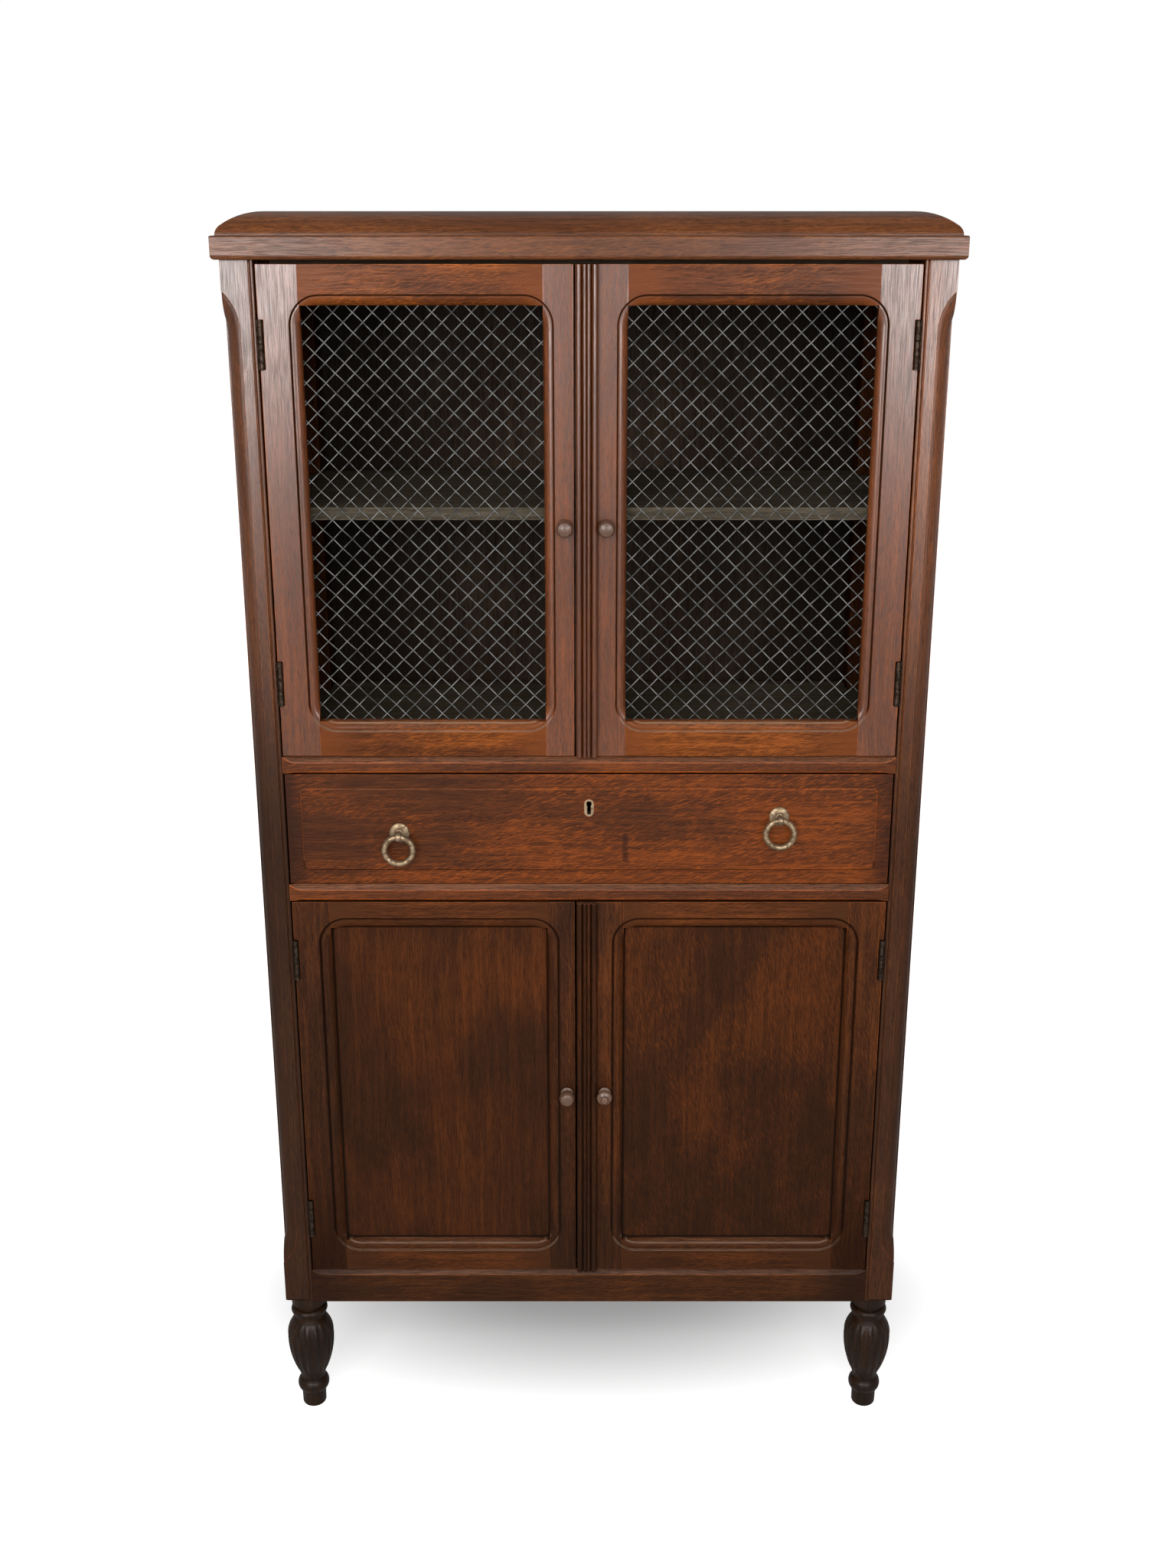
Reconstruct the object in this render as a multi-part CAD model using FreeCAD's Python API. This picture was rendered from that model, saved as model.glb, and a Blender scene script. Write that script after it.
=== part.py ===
import FreeCAD, Part
import math
import os

from FreeCAD import Vector

os.makedirs("parts", exist_ok=True)

# A pantry cupboard on four turned legs: two wire-mesh doors, one drawer and two panelled doors.
# Millimetres, +Z up. x = 0 is the middle of the front. Pieces are drawn with the front face of the posts
# at y = 0 and y growing towards the back; save() then moves them so that the origin is the middle of the
# whole footprint, on the floor.

# ---------------------------------------------------------------- driving dimensions
body_width = 900.0
body_depth = 400.0

leg_height = 197.0
base_rail_height = 54.0
lower_door_height = 584.0
drawer_rail_height = 23.5
drawer_front_height = 155.5
waist_rail_height = 23.0
upper_door_height = 626.5
band_height = 28.0
top_height = 28.0

door_gap = 2.0               # between a door or the drawer front and its neighbours
door_top_gap = 5.0           # above the upper doors
meeting_gap = 2.4            # between the two doors of a pair
meeting_x = -19.4            # edge of the left doors at the meeting gap

post_width = 58.0
post_face = 41.0             # what shows of a front post beside a door
door_thickness = 22.0
door_back_gap = 0.5          # between the back of a door and its stop
joint_play = 0.1             # round tenons and panels
cut_over = 2.0               # how far a cutter runs past a face

corner_reach = 21.0          # width of the corner moulding of a front post
corner_step = 2.5            # its fillet beside each face
corner_stop_radius = 66.0    # the moulding runs out at each end along this radius
corner_stop_top = 85.0       # from the top of the post to where the run-out starts
corner_stop_bottom = 115.0   # from the foot of the post to where it starts
post_bead_width = 5.0
post_quirk = 1.5
post_foot_ease = 3.0

top_overhang = 9.0           # of the cornice past the posts, at the front and both sides
cushion_inset = 6.0          # of the cushion behind the faces of the band
cushion_depth = 52.0
cushion_radius = 15.0        # at the outer edge of the cushion
band_thickness = 30.0
band_lower_round = 5.0
band_upper_round = 2.0

shelf_thickness = 16.0
upper_shelf_rise = 324.0     # from the floor of the upper bay to the top of its shelf
lower_shelf_rise = 294.0
shelf_front = 50.0
board_play = 0.5
waist_rail_depth = 80.0
header_rail_height = 45.0
header_rail_thickness = 22.0
arris_chamfer_height = 8.0
arris_chamfer_depth = 5.0
lower_arris_chamfer = 2.5
arris_stop = 18.0            # a rail's chamfer ends this far from the posts
arris_stop_radius = 30.0

side_rail_thickness = 22.0
side_inset = 4.0
side_panel_thickness = 6.0
groove_depth = 8.0
back_rail_height = 58.0
back_rail_thickness = 22.0
back_board_thickness = 8.0
back_board_count = 6
back_board_bevel = 1.5
back_rebate = 10.0
tenon_length = 20.0
cleat_width = 20.0
cleat_height = 20.0

hinge_stile = 51.0
left_meeting_stile = 37.6
right_meeting_stile = 65.0
upper_top_rail = 49.0
upper_bottom_rail = 46.2
lower_top_rail = 40.2
lower_bottom_rail = 47.0
door_tenon = 30.0
door_tenon_depth = 6.0       # from the face of the door to its tenons
door_tenon_thickness = 7.0
door_tenon_shoulder = 6.0    # from the end of the stile to the tenon
door_tenon_haunch = 4.0      # from the rebate to the tenon
upper_moulding_width = 12.5
lower_moulding_width = 15.0
moulding_step = 3.2
moulding_depth = 11.5
moulding_corner = 37.0
sight_lip = 1.5              # wood left at the sight edge, in front of the mesh or panel
door_rebate = 10.0
panel_thickness = 6.0

mesh_pitch = 24.5            # from one crossing of the wires to the next, along x and z
wire_size = 1.8
mesh_edge_width = 3.0
bead_width = 9.0

astragal_width = 28.0
astragal_base = 4.5
outer_reed = 8.0
inner_reed = 5.2
outer_reed_rise = 4.0
inner_reed_rise = 2.3
quirk_floor = 3.0            # thickness left between two reeds

hinge_length = 60.0
hinge_radius = 3.6
hinge_knuckles = 5
knuckle_gap = 0.3
leaf_thickness = 1.4
leaf_width = 17.0
leaf_gap = 0.6
pin_radius = 1.6
pin_play = 0.05
hinge_proud = 1.0            # how far the pin stands in front of the doors
hinge_post_gap = 0.8         # between the knuckles and the post
upper_hinge_top = 95.8       # from the end of the door to the middle of the hinge
upper_hinge_bottom = 98.7
lower_hinge_top = 86.3
lower_hinge_bottom = 86.7

knob_diameter = 21.0
knob_length = 26.0
knob_base_diameter = 17.0
knob_neck_diameter = 9.5
knob_dowel_diameter = 8.0
knob_dowel_length = 12.0
knob_base_thickness = 3.2
knob_neck_length = 5.0
knob_swell = 4.8             # from the neck to the widest part
knob_button = 5.0            # the smaller step on the end of the lower right knob
upper_knob_drop = 7.5        # of the upper knobs below the middle of their doors
left_knob_x = -31.0
right_knob_x = 22.0

field_border = 20.0
field_step = 2.5
field_corner = 6.0
drawer_side_thickness = 12.0
drawer_side_play = 3.0
drawer_rear_gap = 25.0       # between the drawer and the back rail
drawer_headroom = 14.0
drawer_running_gap = 0.3
drawer_housing = 8.0
drawer_bottom_thickness = 6.0
drawer_bottom_rise = 10.0
runner_width = 40.0
runner_height = 22.0
guide_rise = 14.0

keyhole_rise = 109.0         # from the foot of the drawer front
liner_width = 12.6
liner_height = 24.0
key_round = 7.4
key_slot = 4.8
lock_width = 56.0
lock_height = 44.0
lock_thickness = 9.0

pull_x = 256.0
left_pull_rise = 74.0        # from the foot of the drawer front, as the keyhole
right_pull_rise = 97.0
rose_diameter = 27.0
rose_thickness = 3.0
pull_reach = 18.0            # from the drawer front to the eye of the pull
eye_diameter = 13.0
eye_width = 7.0
stem_diameter = 6.0
ring_diameter = 46.0
ring_wire = 7.8
ring_play = 0.6

flute_count = 16
flute_radius = 8.0
collar_radius = 25.5
collar_height = 17.0
cove_radius = 21.5
ring_bead_radius = 27.0
ring_bead_half = 6.0
bulb_top = 156.0
belly_radius = 34.7
belly_z = 123.0
waist_radius = 23.0          # where the bulb's lower side starts to sweep into the neck
waist_z = 64.0
neck_radius = 18.0
neck_z = 47.5
torus_radius = 23.5
torus_half = 11.5
foot_radius = 18.0
foot_bottom_radius = 16.0
foot_round = 4.0
flute_depth = 2.6            # at the belly
flute_neck_depth = 1.2
flute_top_share = 0.84       # how much of the shoulder the flutes climb

# ---------------------------------------------------------------- places worked out from them
z_base_top = leg_height + base_rail_height
z_lower_door = z_base_top + door_gap
z_lower_door_top = z_lower_door + lower_door_height
z_drawer_rail = z_lower_door_top + door_gap
z_drawer_rail_top = z_drawer_rail + drawer_rail_height
z_drawer = z_drawer_rail_top + door_gap
z_drawer_top = z_drawer + drawer_front_height
z_waist = z_drawer_top + door_gap
z_waist_top = z_waist + waist_rail_height
z_upper_door = z_waist_top + door_gap
z_upper_door_top = z_upper_door + upper_door_height
z_post_top = z_upper_door_top + door_top_gap
z_band_top = z_post_top + band_height
z_top = z_band_top + top_height
upper_shelf_top = z_waist_top + upper_shelf_rise
lower_shelf_top = z_base_top + lower_shelf_rise
keyhole_z = z_drawer + keyhole_rise
left_pull_z = z_drawer + left_pull_rise
right_pull_z = z_drawer + right_pull_rise

half_width = body_width / 2
post_edge = half_width - post_face           # edge of a front post, beside the doors
post_inner = half_width - post_width         # edge of a post behind the doors
door_edge = post_edge - door_gap
right_meeting_x = meeting_x + meeting_gap
stop_y = door_thickness + door_back_gap      # front of what the doors close against
rear_post_y = body_depth - post_width
board_y = body_depth - back_board_thickness
back_rail_y = board_y - back_rail_thickness
leg_x = half_width - post_width / 2
side_outer = half_width - side_inset
side_inner = side_outer - side_rail_thickness
mesh_y = moulding_depth + sight_lip
pin_x = post_edge - hinge_post_gap - hinge_radius
pin_y = -hinge_proud


# ---------------------------------------------------------------- helpers
def box(x0, x1, y0, y1, z0, z1):
    return Part.makeBox(x1 - x0, y1 - y0, z1 - z0, Vector(x0, y0, z0))


def grown(limits, amount):
    """The same box limits, moved out by amount on every side."""
    return tuple(value + (amount if place % 2 else -amount) for place, value in enumerate(limits))


def cylinder(start, end, radius):
    axis = end - start
    return Part.makeCylinder(radius, axis.Length, start, axis)


def mirrored(shape):
    """The left-hand copy of a right-hand piece."""
    return shape.mirror(Vector(0, 0, 0), Vector(1, 0, 0))


def both_sides(*shapes):
    return [copy for shape in shapes for copy in (mirrored(shape), shape)]


def plan(z):
    return lambda a, b: Vector(a, b, z)


def side_view(x):
    return lambda a, b: Vector(x, a, b)


def front_view(y):
    return lambda a, b: Vector(a, y, b)


def outline(place, start, *steps):
    """A closed flat face. A step (a, b) is a straight line to there; a step ((a, b), (c, d)) is an arc
    through the first point to the second."""
    edges = []
    here = start
    for step in steps + (start,):
        if isinstance(step[0], tuple):
            middle, there = step
            edges.append(Part.Arc(place(*here), place(*middle), place(*there)).toShape())
        else:
            there = step
            if there != here:
                edges.append(Part.LineSegment(place(*here), place(*there)).toShape())
        here = there
    return Part.Face(Part.Wire(edges))


# ---------------------------------------------------------------- turned legs
def belly_centre(edge, point):
    """The radius at which an arc has its centre when it stands upright at edge and passes through point."""
    return (edge[0] ** 2 - point[0] ** 2 - (point[1] - edge[1]) ** 2) / (2 * (edge[0] - point[0]))


def side_of_leg(radius, z):
    return Vector(radius, 0, z)


def flute_tools():
    """The round tool of one flute, along the shoulder, the lower bulb and the neck of the leg. It is
    deepest at the belly, shallow at the neck, and leaves the shoulder below the bead."""
    start = (belly_radius + flute_radius - flute_depth, belly_z)
    disc = Part.Face(Part.Wire(Part.Circle(Vector(start[0], 0, start[1]), Vector(0, 0, 1),
                                           flute_radius).toShape()))
    shoulder = belly_centre((belly_radius, belly_z), (cove_radius, bulb_top))
    lift = flute_top_share * math.asin((bulb_top - belly_z) / (belly_radius - shoulder))
    leave = (shoulder + (belly_radius - shoulder + flute_radius) * math.cos(lift),
             belly_z + (belly_radius - shoulder + flute_radius) * math.sin(lift))
    lower = belly_centre((belly_radius, belly_z), (waist_radius, waist_z))
    lean = math.asin((belly_z - waist_z) / (belly_radius - lower))
    neck_offset = flute_radius - flute_neck_depth
    turn = (waist_radius + neck_offset * math.cos(lean), waist_z - neck_offset * math.sin(lean))
    pieces = []
    for point, way in ((leave, -1), (turn, 1)):
        centre = belly_centre(start, point)
        angle = math.degrees(math.asin(abs(point[1] - belly_z) / (start[0] - centre)))
        pieces.append(disc.revolve(Vector(centre, 0, belly_z), Vector(0, way, 0), angle))
        last = disc.copy()
        last.rotate(Vector(centre, 0, belly_z), Vector(0, way, 0), angle)
    hollow = Vector(turn[0] + (turn[1] - neck_z) / math.tan(lean), 0, neck_z)
    pieces.append(last.revolve(hollow, Vector(0, -1, 0), math.degrees(lean)))
    return pieces


def turned_leg():
    """A vase leg: collar, bead, fluted bulb, neck, ring and foot, turned about the z axis."""
    z_collar = leg_height - collar_height
    z_bead = (z_collar + bulb_top) / 2
    torus_middle = neck_z - torus_half
    foot_top = torus_middle - torus_half
    shoulder = belly_centre((belly_radius, belly_z), (cove_radius, bulb_top))
    lower = belly_centre((belly_radius, belly_z), (waist_radius, waist_z))
    shoulder_angle = math.asin((bulb_top - belly_z) / (belly_radius - shoulder)) / 2
    lower_angle = math.asin((belly_z - waist_z) / (belly_radius - lower)) / 2
    foot_shoulder = foot_bottom_radius + foot_round * 0.4
    profile = outline(
        side_of_leg, (0, leg_height), (collar_radius, leg_height), (collar_radius, z_collar),
        ((cove_radius + 0.8, z_collar - 1.6), (cove_radius, z_bead + ring_bead_half)),
        ((ring_bead_radius, z_bead), (cove_radius, z_bead - ring_bead_half)), (cove_radius, bulb_top),
        ((shoulder + (belly_radius - shoulder) * math.cos(shoulder_angle),
          belly_z + (belly_radius - shoulder) * math.sin(shoulder_angle)), (belly_radius, belly_z)),
        ((lower + (belly_radius - lower) * math.cos(lower_angle),
          belly_z - (belly_radius - lower) * math.sin(lower_angle)), (waist_radius, waist_z)),
        ((neck_radius + (waist_radius - neck_radius) / 4, (waist_z + neck_z) / 2), (neck_radius, neck_z)),
        ((torus_radius, torus_middle), (foot_radius, foot_top)), (foot_shoulder, foot_round),
        ((foot_bottom_radius + foot_round * 0.1, foot_round * 0.3), (foot_bottom_radius - foot_round * 0.4, 0)),
        (0, 0))
    body = profile.revolve(Vector(0, 0, 0), Vector(0, 0, 1), 360)
    tools = []
    for number in range(flute_count):
        for piece in flute_tools():
            piece.rotate(Vector(0, 0, 0), Vector(0, 0, 1), (number + 0.5) * 360 / flute_count)
            tools.append(piece)
    return body.cut(tools)


leg = turned_leg()

# The knobs reach furthest to the front and the bellies of the rear legs furthest to the back
back_reach = body_depth - post_width / 2 + belly_radius
front_y = (knob_length - back_reach) / 2


def save(name, *shapes):
    """Write one named piece, or one group of like pieces, to its own file."""
    solids = [solid for shape in shapes for solid in shape.Solids]
    piece = solids[0].copy() if len(solids) == 1 else Part.makeCompound(solids)
    piece.translate(Vector(0, front_y, 0))
    piece.exportStep(f"parts/{name}.step")


def leg_at(x, y):
    copy = leg.copy()
    copy.translate(Vector(x, y, 0))
    return copy


# ---------------------------------------------------------------- rails and their tenons
post_mortises = []


def tenons(x, y0, y1, z0, z1):
    """A tenon at each end of a rail that ends at +x and -x; each cuts its mortise in the posts."""
    ends = [(x, x + tenon_length, y0, y1, z0, z1), (-x - tenon_length, -x, y0, y1, z0, z1)]
    post_mortises.extend(box(*grown(limits, joint_play)) for limits in ends)
    return [box(*limits) for limits in ends]


def arris_cutter(z, height, depth):
    """A chamfer along the front arris of a rail, at height z, that runs out short of the posts. The height
    is measured from z into the rail: downwards when it is negative."""
    end = post_edge - arris_stop
    section = outline(side_view(-end), (-cut_over, z - math.copysign(cut_over, height)),
                      (-cut_over, z + height), (0, z + height), (depth, z),
                      (depth, z - math.copysign(cut_over, height)))
    straight = section.extrude(Vector(2 * end, 0, 0))
    left_stop = section.revolve(Vector(-end, -arris_stop_radius, z), Vector(0, 0, 1), 40)
    return straight.fuse([left_stop, mirrored(left_stop)])


def notched_rail(z0, z1, depth):
    """A wide front rail: its front fills the space between the faces of the posts, and the rest fits
    between the posts behind their rebates."""
    front = box(-post_edge, post_edge, 0, stop_y, z0, z1)
    behind = box(-post_inner, post_inner, stop_y, depth, z0, z1)
    inset = (z1 - z0) / 4
    rail = front.fuse([behind] + tenons(post_inner, stop_y + inset, post_width - inset,
                                        z0 + inset, z1 - inset))
    rail = rail.cut(arris_cutter(z1, -arris_chamfer_height, arris_chamfer_depth))
    rail = rail.cut(arris_cutter(z0, lower_arris_chamfer, lower_arris_chamfer))
    return rail.removeSplitter()


waist_rail = notched_rail(z_waist, z_waist_top, waist_rail_depth)
drawer_rail = notched_rail(z_drawer_rail, z_drawer_rail_top, waist_rail_depth)

base_tenons = tenons(post_edge, stop_y / 3, stop_y * 2 / 3, leg_height + groove_depth, z_base_top - groove_depth)
base_rail = box(-post_edge, post_edge, 0, stop_y, leg_height, z_base_top).fuse(base_tenons)
base_rail = base_rail.cut(arris_cutter(z_base_top, -arris_chamfer_height, arris_chamfer_depth))

header_y = stop_y + header_rail_thickness
header_rail = box(-post_inner, post_inner, stop_y, header_y, z_post_top - header_rail_height, z_post_top)
header_rail = header_rail.fuse(tenons(post_inner, stop_y + groove_depth, header_y - groove_depth / 2,
                                      z_post_top - header_rail_height + groove_depth,
                                      z_post_top - groove_depth))

save("waist_rail", waist_rail)
save("drawer_rail", drawer_rail)
save("base_rail", base_rail)
save("header_rail", header_rail)

# Rails of the back and of the two sides: one at the foot, one at the waist and one at the top
rail_levels = [(leg_height, z_base_top), (z_waist_top - back_rail_height, z_waist_top),
               (z_post_top - back_rail_height, z_post_top)]
back_rails = []
side_rails = []
for low, high in rail_levels:
    back_rails.append(box(-post_inner, post_inner, back_rail_y, board_y, low, high).fuse(
        tenons(post_inner, back_rail_y + groove_depth, board_y - groove_depth / 2,
               low + groove_depth, high - groove_depth)))
    side_tenon = (side_inner + groove_depth, side_outer - groove_depth, post_width - tenon_length,
                  rear_post_y + tenon_length, low + groove_depth, high - groove_depth)
    post_mortises.append(box(*grown(side_tenon, joint_play)))
    side_rail = box(side_inner, side_outer, post_width, rear_post_y, low, high)
    side_rails.append(side_rail.fuse(box(*side_tenon)))

# Side panels stand in grooves of the posts and rails
panel_x = (side_inner + side_outer - side_panel_thickness) / 2
side_panels = []
for (_, low), (high, _) in zip(rail_levels, rail_levels[1:]):
    limits = (panel_x, panel_x + side_panel_thickness, post_width - groove_depth,
              rear_post_y + groove_depth, low - groove_depth, high + groove_depth)
    side_panels.append(box(*limits))
    groove = box(*grown(limits, joint_play))
    post_mortises.append(groove)
    side_rails = [rail.cut(groove) for rail in side_rails]

save("back_rails", *back_rails)
save("side_rails", *both_sides(*side_rails))
save("side_panels", *both_sides(*side_panels))

# Upright back boards, nailed to the back rails inside a rebate of the rear posts
board_half_width = post_inner + back_rebate
board_width = 2 * board_half_width / back_board_count
back_boards = []
for number in range(back_board_count):
    left = -board_half_width + number * board_width
    right = left + board_width
    back_boards.append(outline(
        plan(leg_height), (left, board_y), (right, board_y), (right, body_depth - back_board_bevel),
        (right - back_board_bevel, body_depth), (left + back_board_bevel, body_depth),
        (left, body_depth - back_board_bevel)).extrude(Vector(0, 0, z_post_top - leg_height)))
save("back_boards", *back_boards)


# ---------------------------------------------------------------- posts
def corner_cutter():
    """A quarter-round with a small step beside each face, worked on the outer front arris of the right
    post. At both ends it runs out to the side along an arc, as a moulding cutter leaves it."""
    inner = half_width - corner_reach
    round_radius = corner_reach - corner_step
    z_low = leg_height + corner_stop_bottom
    z_high = z_post_top - corner_stop_top
    section = outline(
        plan(z_low), (inner, -cut_over), (inner, corner_step),
        ((inner + round_radius * math.sqrt(0.5), corner_reach - round_radius * math.sqrt(0.5)),
         (half_width - corner_step, corner_reach)),
        (half_width + cut_over, corner_reach), (half_width + cut_over, -cut_over))
    straight = section.extrude(Vector(0, 0, z_high - z_low))
    upper_section = section.copy()
    upper_section.translate(Vector(0, 0, z_high - z_low))
    stop_x = inner + corner_stop_radius
    run_out = math.degrees(math.acos(1 - (corner_reach + cut_over) / corner_stop_radius))
    upper_stop = upper_section.revolve(Vector(stop_x, 0, z_high), Vector(0, 1, 0), run_out)
    lower_stop = section.revolve(Vector(stop_x, 0, z_low), Vector(0, -1, 0), run_out)
    return [straight, upper_stop, lower_stop]


def bead_cutter():
    """A bead along the post's inner front edge, with a quirk that sets it off from the flat."""
    radius = post_bead_width / 2
    middle = post_edge + radius
    bow = radius * math.sqrt(0.5)
    section = outline(
        plan(leg_height - cut_over), (post_edge - cut_over, -cut_over),
        (post_edge + post_bead_width + post_quirk, -cut_over), (post_edge + post_bead_width + post_quirk, radius),
        (post_edge + post_bead_width, radius), ((middle + bow, radius - bow), (middle, 0)),
        ((middle - bow, radius - bow), (post_edge, radius)), (post_edge - cut_over, radius))
    return section.extrude(Vector(0, 0, z_post_top - leg_height + 2 * cut_over))


def eased_foot(x0, x1, y0, y1):
    """What the bevel round the foot of a post takes away."""
    block = box(x0 - cut_over, x1 + cut_over, y0 - cut_over, y1 + cut_over, leg_height,
                leg_height + post_foot_ease)
    inner = box(x0, x1, y0, y1, leg_height, leg_height + post_foot_ease)
    bottom = [edge for edge in inner.Edges if edge.BoundBox.ZMax < leg_height + post_foot_ease / 2]
    return block.cut(inner.makeChamfer(post_foot_ease - joint_play, bottom))


right_post = outline(plan(leg_height), (post_edge, 0), (half_width, 0), (half_width, post_width),
                     (post_inner, post_width), (post_inner, stop_y), (post_edge, stop_y)).extrude(
                         Vector(0, 0, z_post_top - leg_height))
right_post = right_post.cut(corner_cutter() + [bead_cutter()])
right_post = right_post.cut(eased_foot(post_inner - cut_over, half_width, 0, post_width + cut_over))
right_post = right_post.cut(post_mortises)

rear_right_post = box(post_inner, half_width, rear_post_y, body_depth, leg_height, z_post_top)
rear_right_post = rear_right_post.cut(
    [box(post_inner - cut_over, board_half_width, board_y, body_depth + cut_over,
         leg_height - cut_over, z_post_top + cut_over)] + post_mortises)


save("front_left_post", mirrored(right_post))
save("front_right_post", right_post)
save("rear_posts", *both_sides(rear_right_post))
save("front_legs", leg_at(-leg_x, post_width / 2), leg_at(leg_x, post_width / 2))
save("rear_legs", leg_at(-leg_x, body_depth - post_width / 2), leg_at(leg_x, body_depth - post_width / 2))

# ---------------------------------------------------------------- cornice
top_half = half_width + top_overhang
cushion_half = top_half - cushion_inset
cushion_front = cushion_inset - top_overhang


def cushion_arcs(edge, way):
    """The cushion edge in section, from its outer edge up to the top face: a tight arc that flows into a
    flatter one. It gives the middle and end of each. way is +1 when the wood lies towards + a."""
    rise, run, tight = top_height, cushion_depth, cushion_radius
    flat = ((run - tight) ** 2 + rise ** 2 - tight ** 2) / (2 * (rise - tight))
    join_angle = math.pi + math.atan2(rise - flat, run - tight)
    tight_angle = (math.pi + join_angle) / 2
    flat_angle = (join_angle + math.pi / 2) / 2
    points = [(tight + tight * math.cos(angle), tight * math.sin(angle)) for angle in (tight_angle, join_angle)]
    points += [(run + flat * math.cos(flat_angle), rise - flat + flat * math.sin(flat_angle)), (run, rise)]
    return [(edge + way * a, z_band_top + b) for a, b in points]


# The cushion edge runs along the front and both sides: the two runs meet in mitres
front_a, front_b, front_c, front_d = cushion_arcs(cushion_front, 1)
front_run = outline(side_view(-cushion_half), (cushion_front, z_band_top), (front_a, front_b),
                    (front_c, front_d), (body_depth, z_top), (body_depth, z_band_top)).extrude(
                        Vector(2 * cushion_half, 0, 0))
left_a, left_b, left_c, left_d = cushion_arcs(-cushion_half, 1)
right_a, right_b, right_c, right_d = cushion_arcs(cushion_half, -1)
side_run = outline(front_view(cushion_front), (-cushion_half, z_band_top), (left_a, left_b), (left_c, left_d),
                   right_d, (right_c, right_b), (right_a, (cushion_half, z_band_top))).extrude(
                       Vector(0, body_depth - cushion_front, 0))
save("cornice_top", front_run.common(side_run))


def band_section(place, outer, way):
    """The section of the flat band: outer is its face, way is +1 when the wood lies towards + a."""
    low, high = z_post_top, z_band_top
    bow = 1 - math.sqrt(0.5)
    return outline(
        place, (outer + way * band_thickness, high), (outer + way * band_upper_round, high),
        ((outer + way * band_upper_round * bow, high - band_upper_round * bow),
         (outer, high - band_upper_round)),
        (outer, low + band_lower_round),
        ((outer + way * band_lower_round * bow, low + band_lower_round * bow),
         (outer + way * band_lower_round, low)),
        (outer + way * band_thickness, low))


def mitre_block(*corners):
    face = outline(plan(z_post_top - cut_over), *corners)
    return face.extrude(Vector(0, 0, band_height + 2 * cut_over))


band_in_x = top_half - band_thickness
band_in_y = band_thickness - top_overhang
front_band = band_section(side_view(-top_half), -top_overhang, 1).extrude(Vector(2 * top_half, 0, 0))
front_band = front_band.common(mitre_block((-top_half, -top_overhang), (top_half, -top_overhang),
                                           (band_in_x, band_in_y), (-band_in_x, band_in_y)))
side_band = band_section(front_view(-top_overhang), top_half, -1).extrude(
    Vector(0, body_depth + top_overhang, 0))
side_band = side_band.common(mitre_block((top_half, -top_overhang), (top_half, body_depth),
                                         (band_in_x, body_depth), (band_in_x, band_in_y)))
back_band = box(-band_in_x, band_in_x, body_depth - band_thickness, body_depth, z_post_top, z_band_top)
save("cornice_band", front_band, mirrored(side_band), side_band, back_band)


# ---------------------------------------------------------------- boards and shelves inside
def inner_board(top, y0, y1):
    """A board from side to side, cut round the posts."""
    board = box(-side_inner + board_play, side_inner - board_play, y0, y1, top - shelf_thickness, top)
    notches = [box(post_inner - board_play, half_width, -cut_over, post_width + board_play, 0, z_post_top),
               box(post_inner - board_play, half_width, rear_post_y - board_play, body_depth, 0, z_post_top)]
    return board.cut(both_sides(*notches))


save("upper_floor", inner_board(z_waist_top, waist_rail_depth, back_rail_y))
save("bottom_board", inner_board(z_base_top, stop_y, back_rail_y))
save("upper_shelf", inner_board(upper_shelf_top, shelf_front, board_y))
save("lower_shelf", inner_board(lower_shelf_top, shelf_front, board_y))

cleats = [box(side_inner - cleat_width, side_inner, post_width, rear_post_y,
              top - shelf_thickness - cleat_height, top - shelf_thickness)
          for top in (z_base_top, lower_shelf_top, upper_shelf_top)]
save("shelf_battens", *both_sides(*cleats))

# The drawer slides on rebated runners, under kickers that also carry the upper floor
drawer_side_outer = post_inner - drawer_side_play
runner_inner = drawer_side_outer - runner_width / 2
runner_outer = runner_inner + runner_width
guide_x = drawer_side_outer + drawer_side_play / 2
runner = outline(
    front_view(waist_rail_depth), (runner_inner, z_drawer_rail_top - runner_height),
    (runner_outer, z_drawer_rail_top - runner_height), (runner_outer, z_drawer_rail_top + guide_rise),
    (guide_x, z_drawer_rail_top + guide_rise), (guide_x, z_drawer_rail_top),
    (runner_inner, z_drawer_rail_top)).extrude(Vector(0, rear_post_y - waist_rail_depth, 0))
kicker = box(runner_inner, runner_outer, waist_rail_depth, rear_post_y, z_waist,
             z_waist_top - shelf_thickness)
save("drawer_runners", *both_sides(runner, kicker))


# ---------------------------------------------------------------- door frames
def frame_moulding(x0, x1, z0, z1, width):
    """The stopped moulding round an opening: a square step down from the face, then a quarter-round to
    the sight edge. It follows a rectangle with rounded corners, so it dies out in the square corners."""
    left, right = x0 - width, x1 + width
    low, high = z0 - width, z1 + width
    radius = moulding_corner
    flat = 0.8
    fall = moulding_depth - moulding_step
    middle = flat + (width - flat) * math.sqrt(0.5)
    centres = [(left + radius, high - radius), (right - radius, high - radius),
               (right - radius, low + radius), (left + radius, low + radius)]
    runs = [Vector(1, 0, 0), Vector(0, 0, -1), Vector(-1, 0, 0), Vector(0, 0, 1)]
    pieces = []
    for turn, (cx, cz) in enumerate(centres):
        following = centres[(turn + 1) % 4]
        length = math.hypot(following[0] - cx, following[1] - cz)
        section = outline(
            lambda s, depth: Vector(cx - radius + s, depth, cz), (0, -cut_over), (0, moulding_step),
            (flat, moulding_step), ((middle, moulding_depth - fall * math.sqrt(0.5)),
                                    (width, moulding_depth)),
            (width + cut_over, moulding_depth), (width + cut_over, -cut_over))
        centre = Vector(cx, 0, cz)
        section.rotate(centre, Vector(0, 1, 0), 90 * turn)
        pieces.append(section.revolve(centre, Vector(0, 1, 0), 90))
        end_section = section.copy()
        end_section.rotate(centre, Vector(0, 1, 0), 90)
        pieces.append(end_section.extrude(runs[turn] * length))
    return pieces


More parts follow.
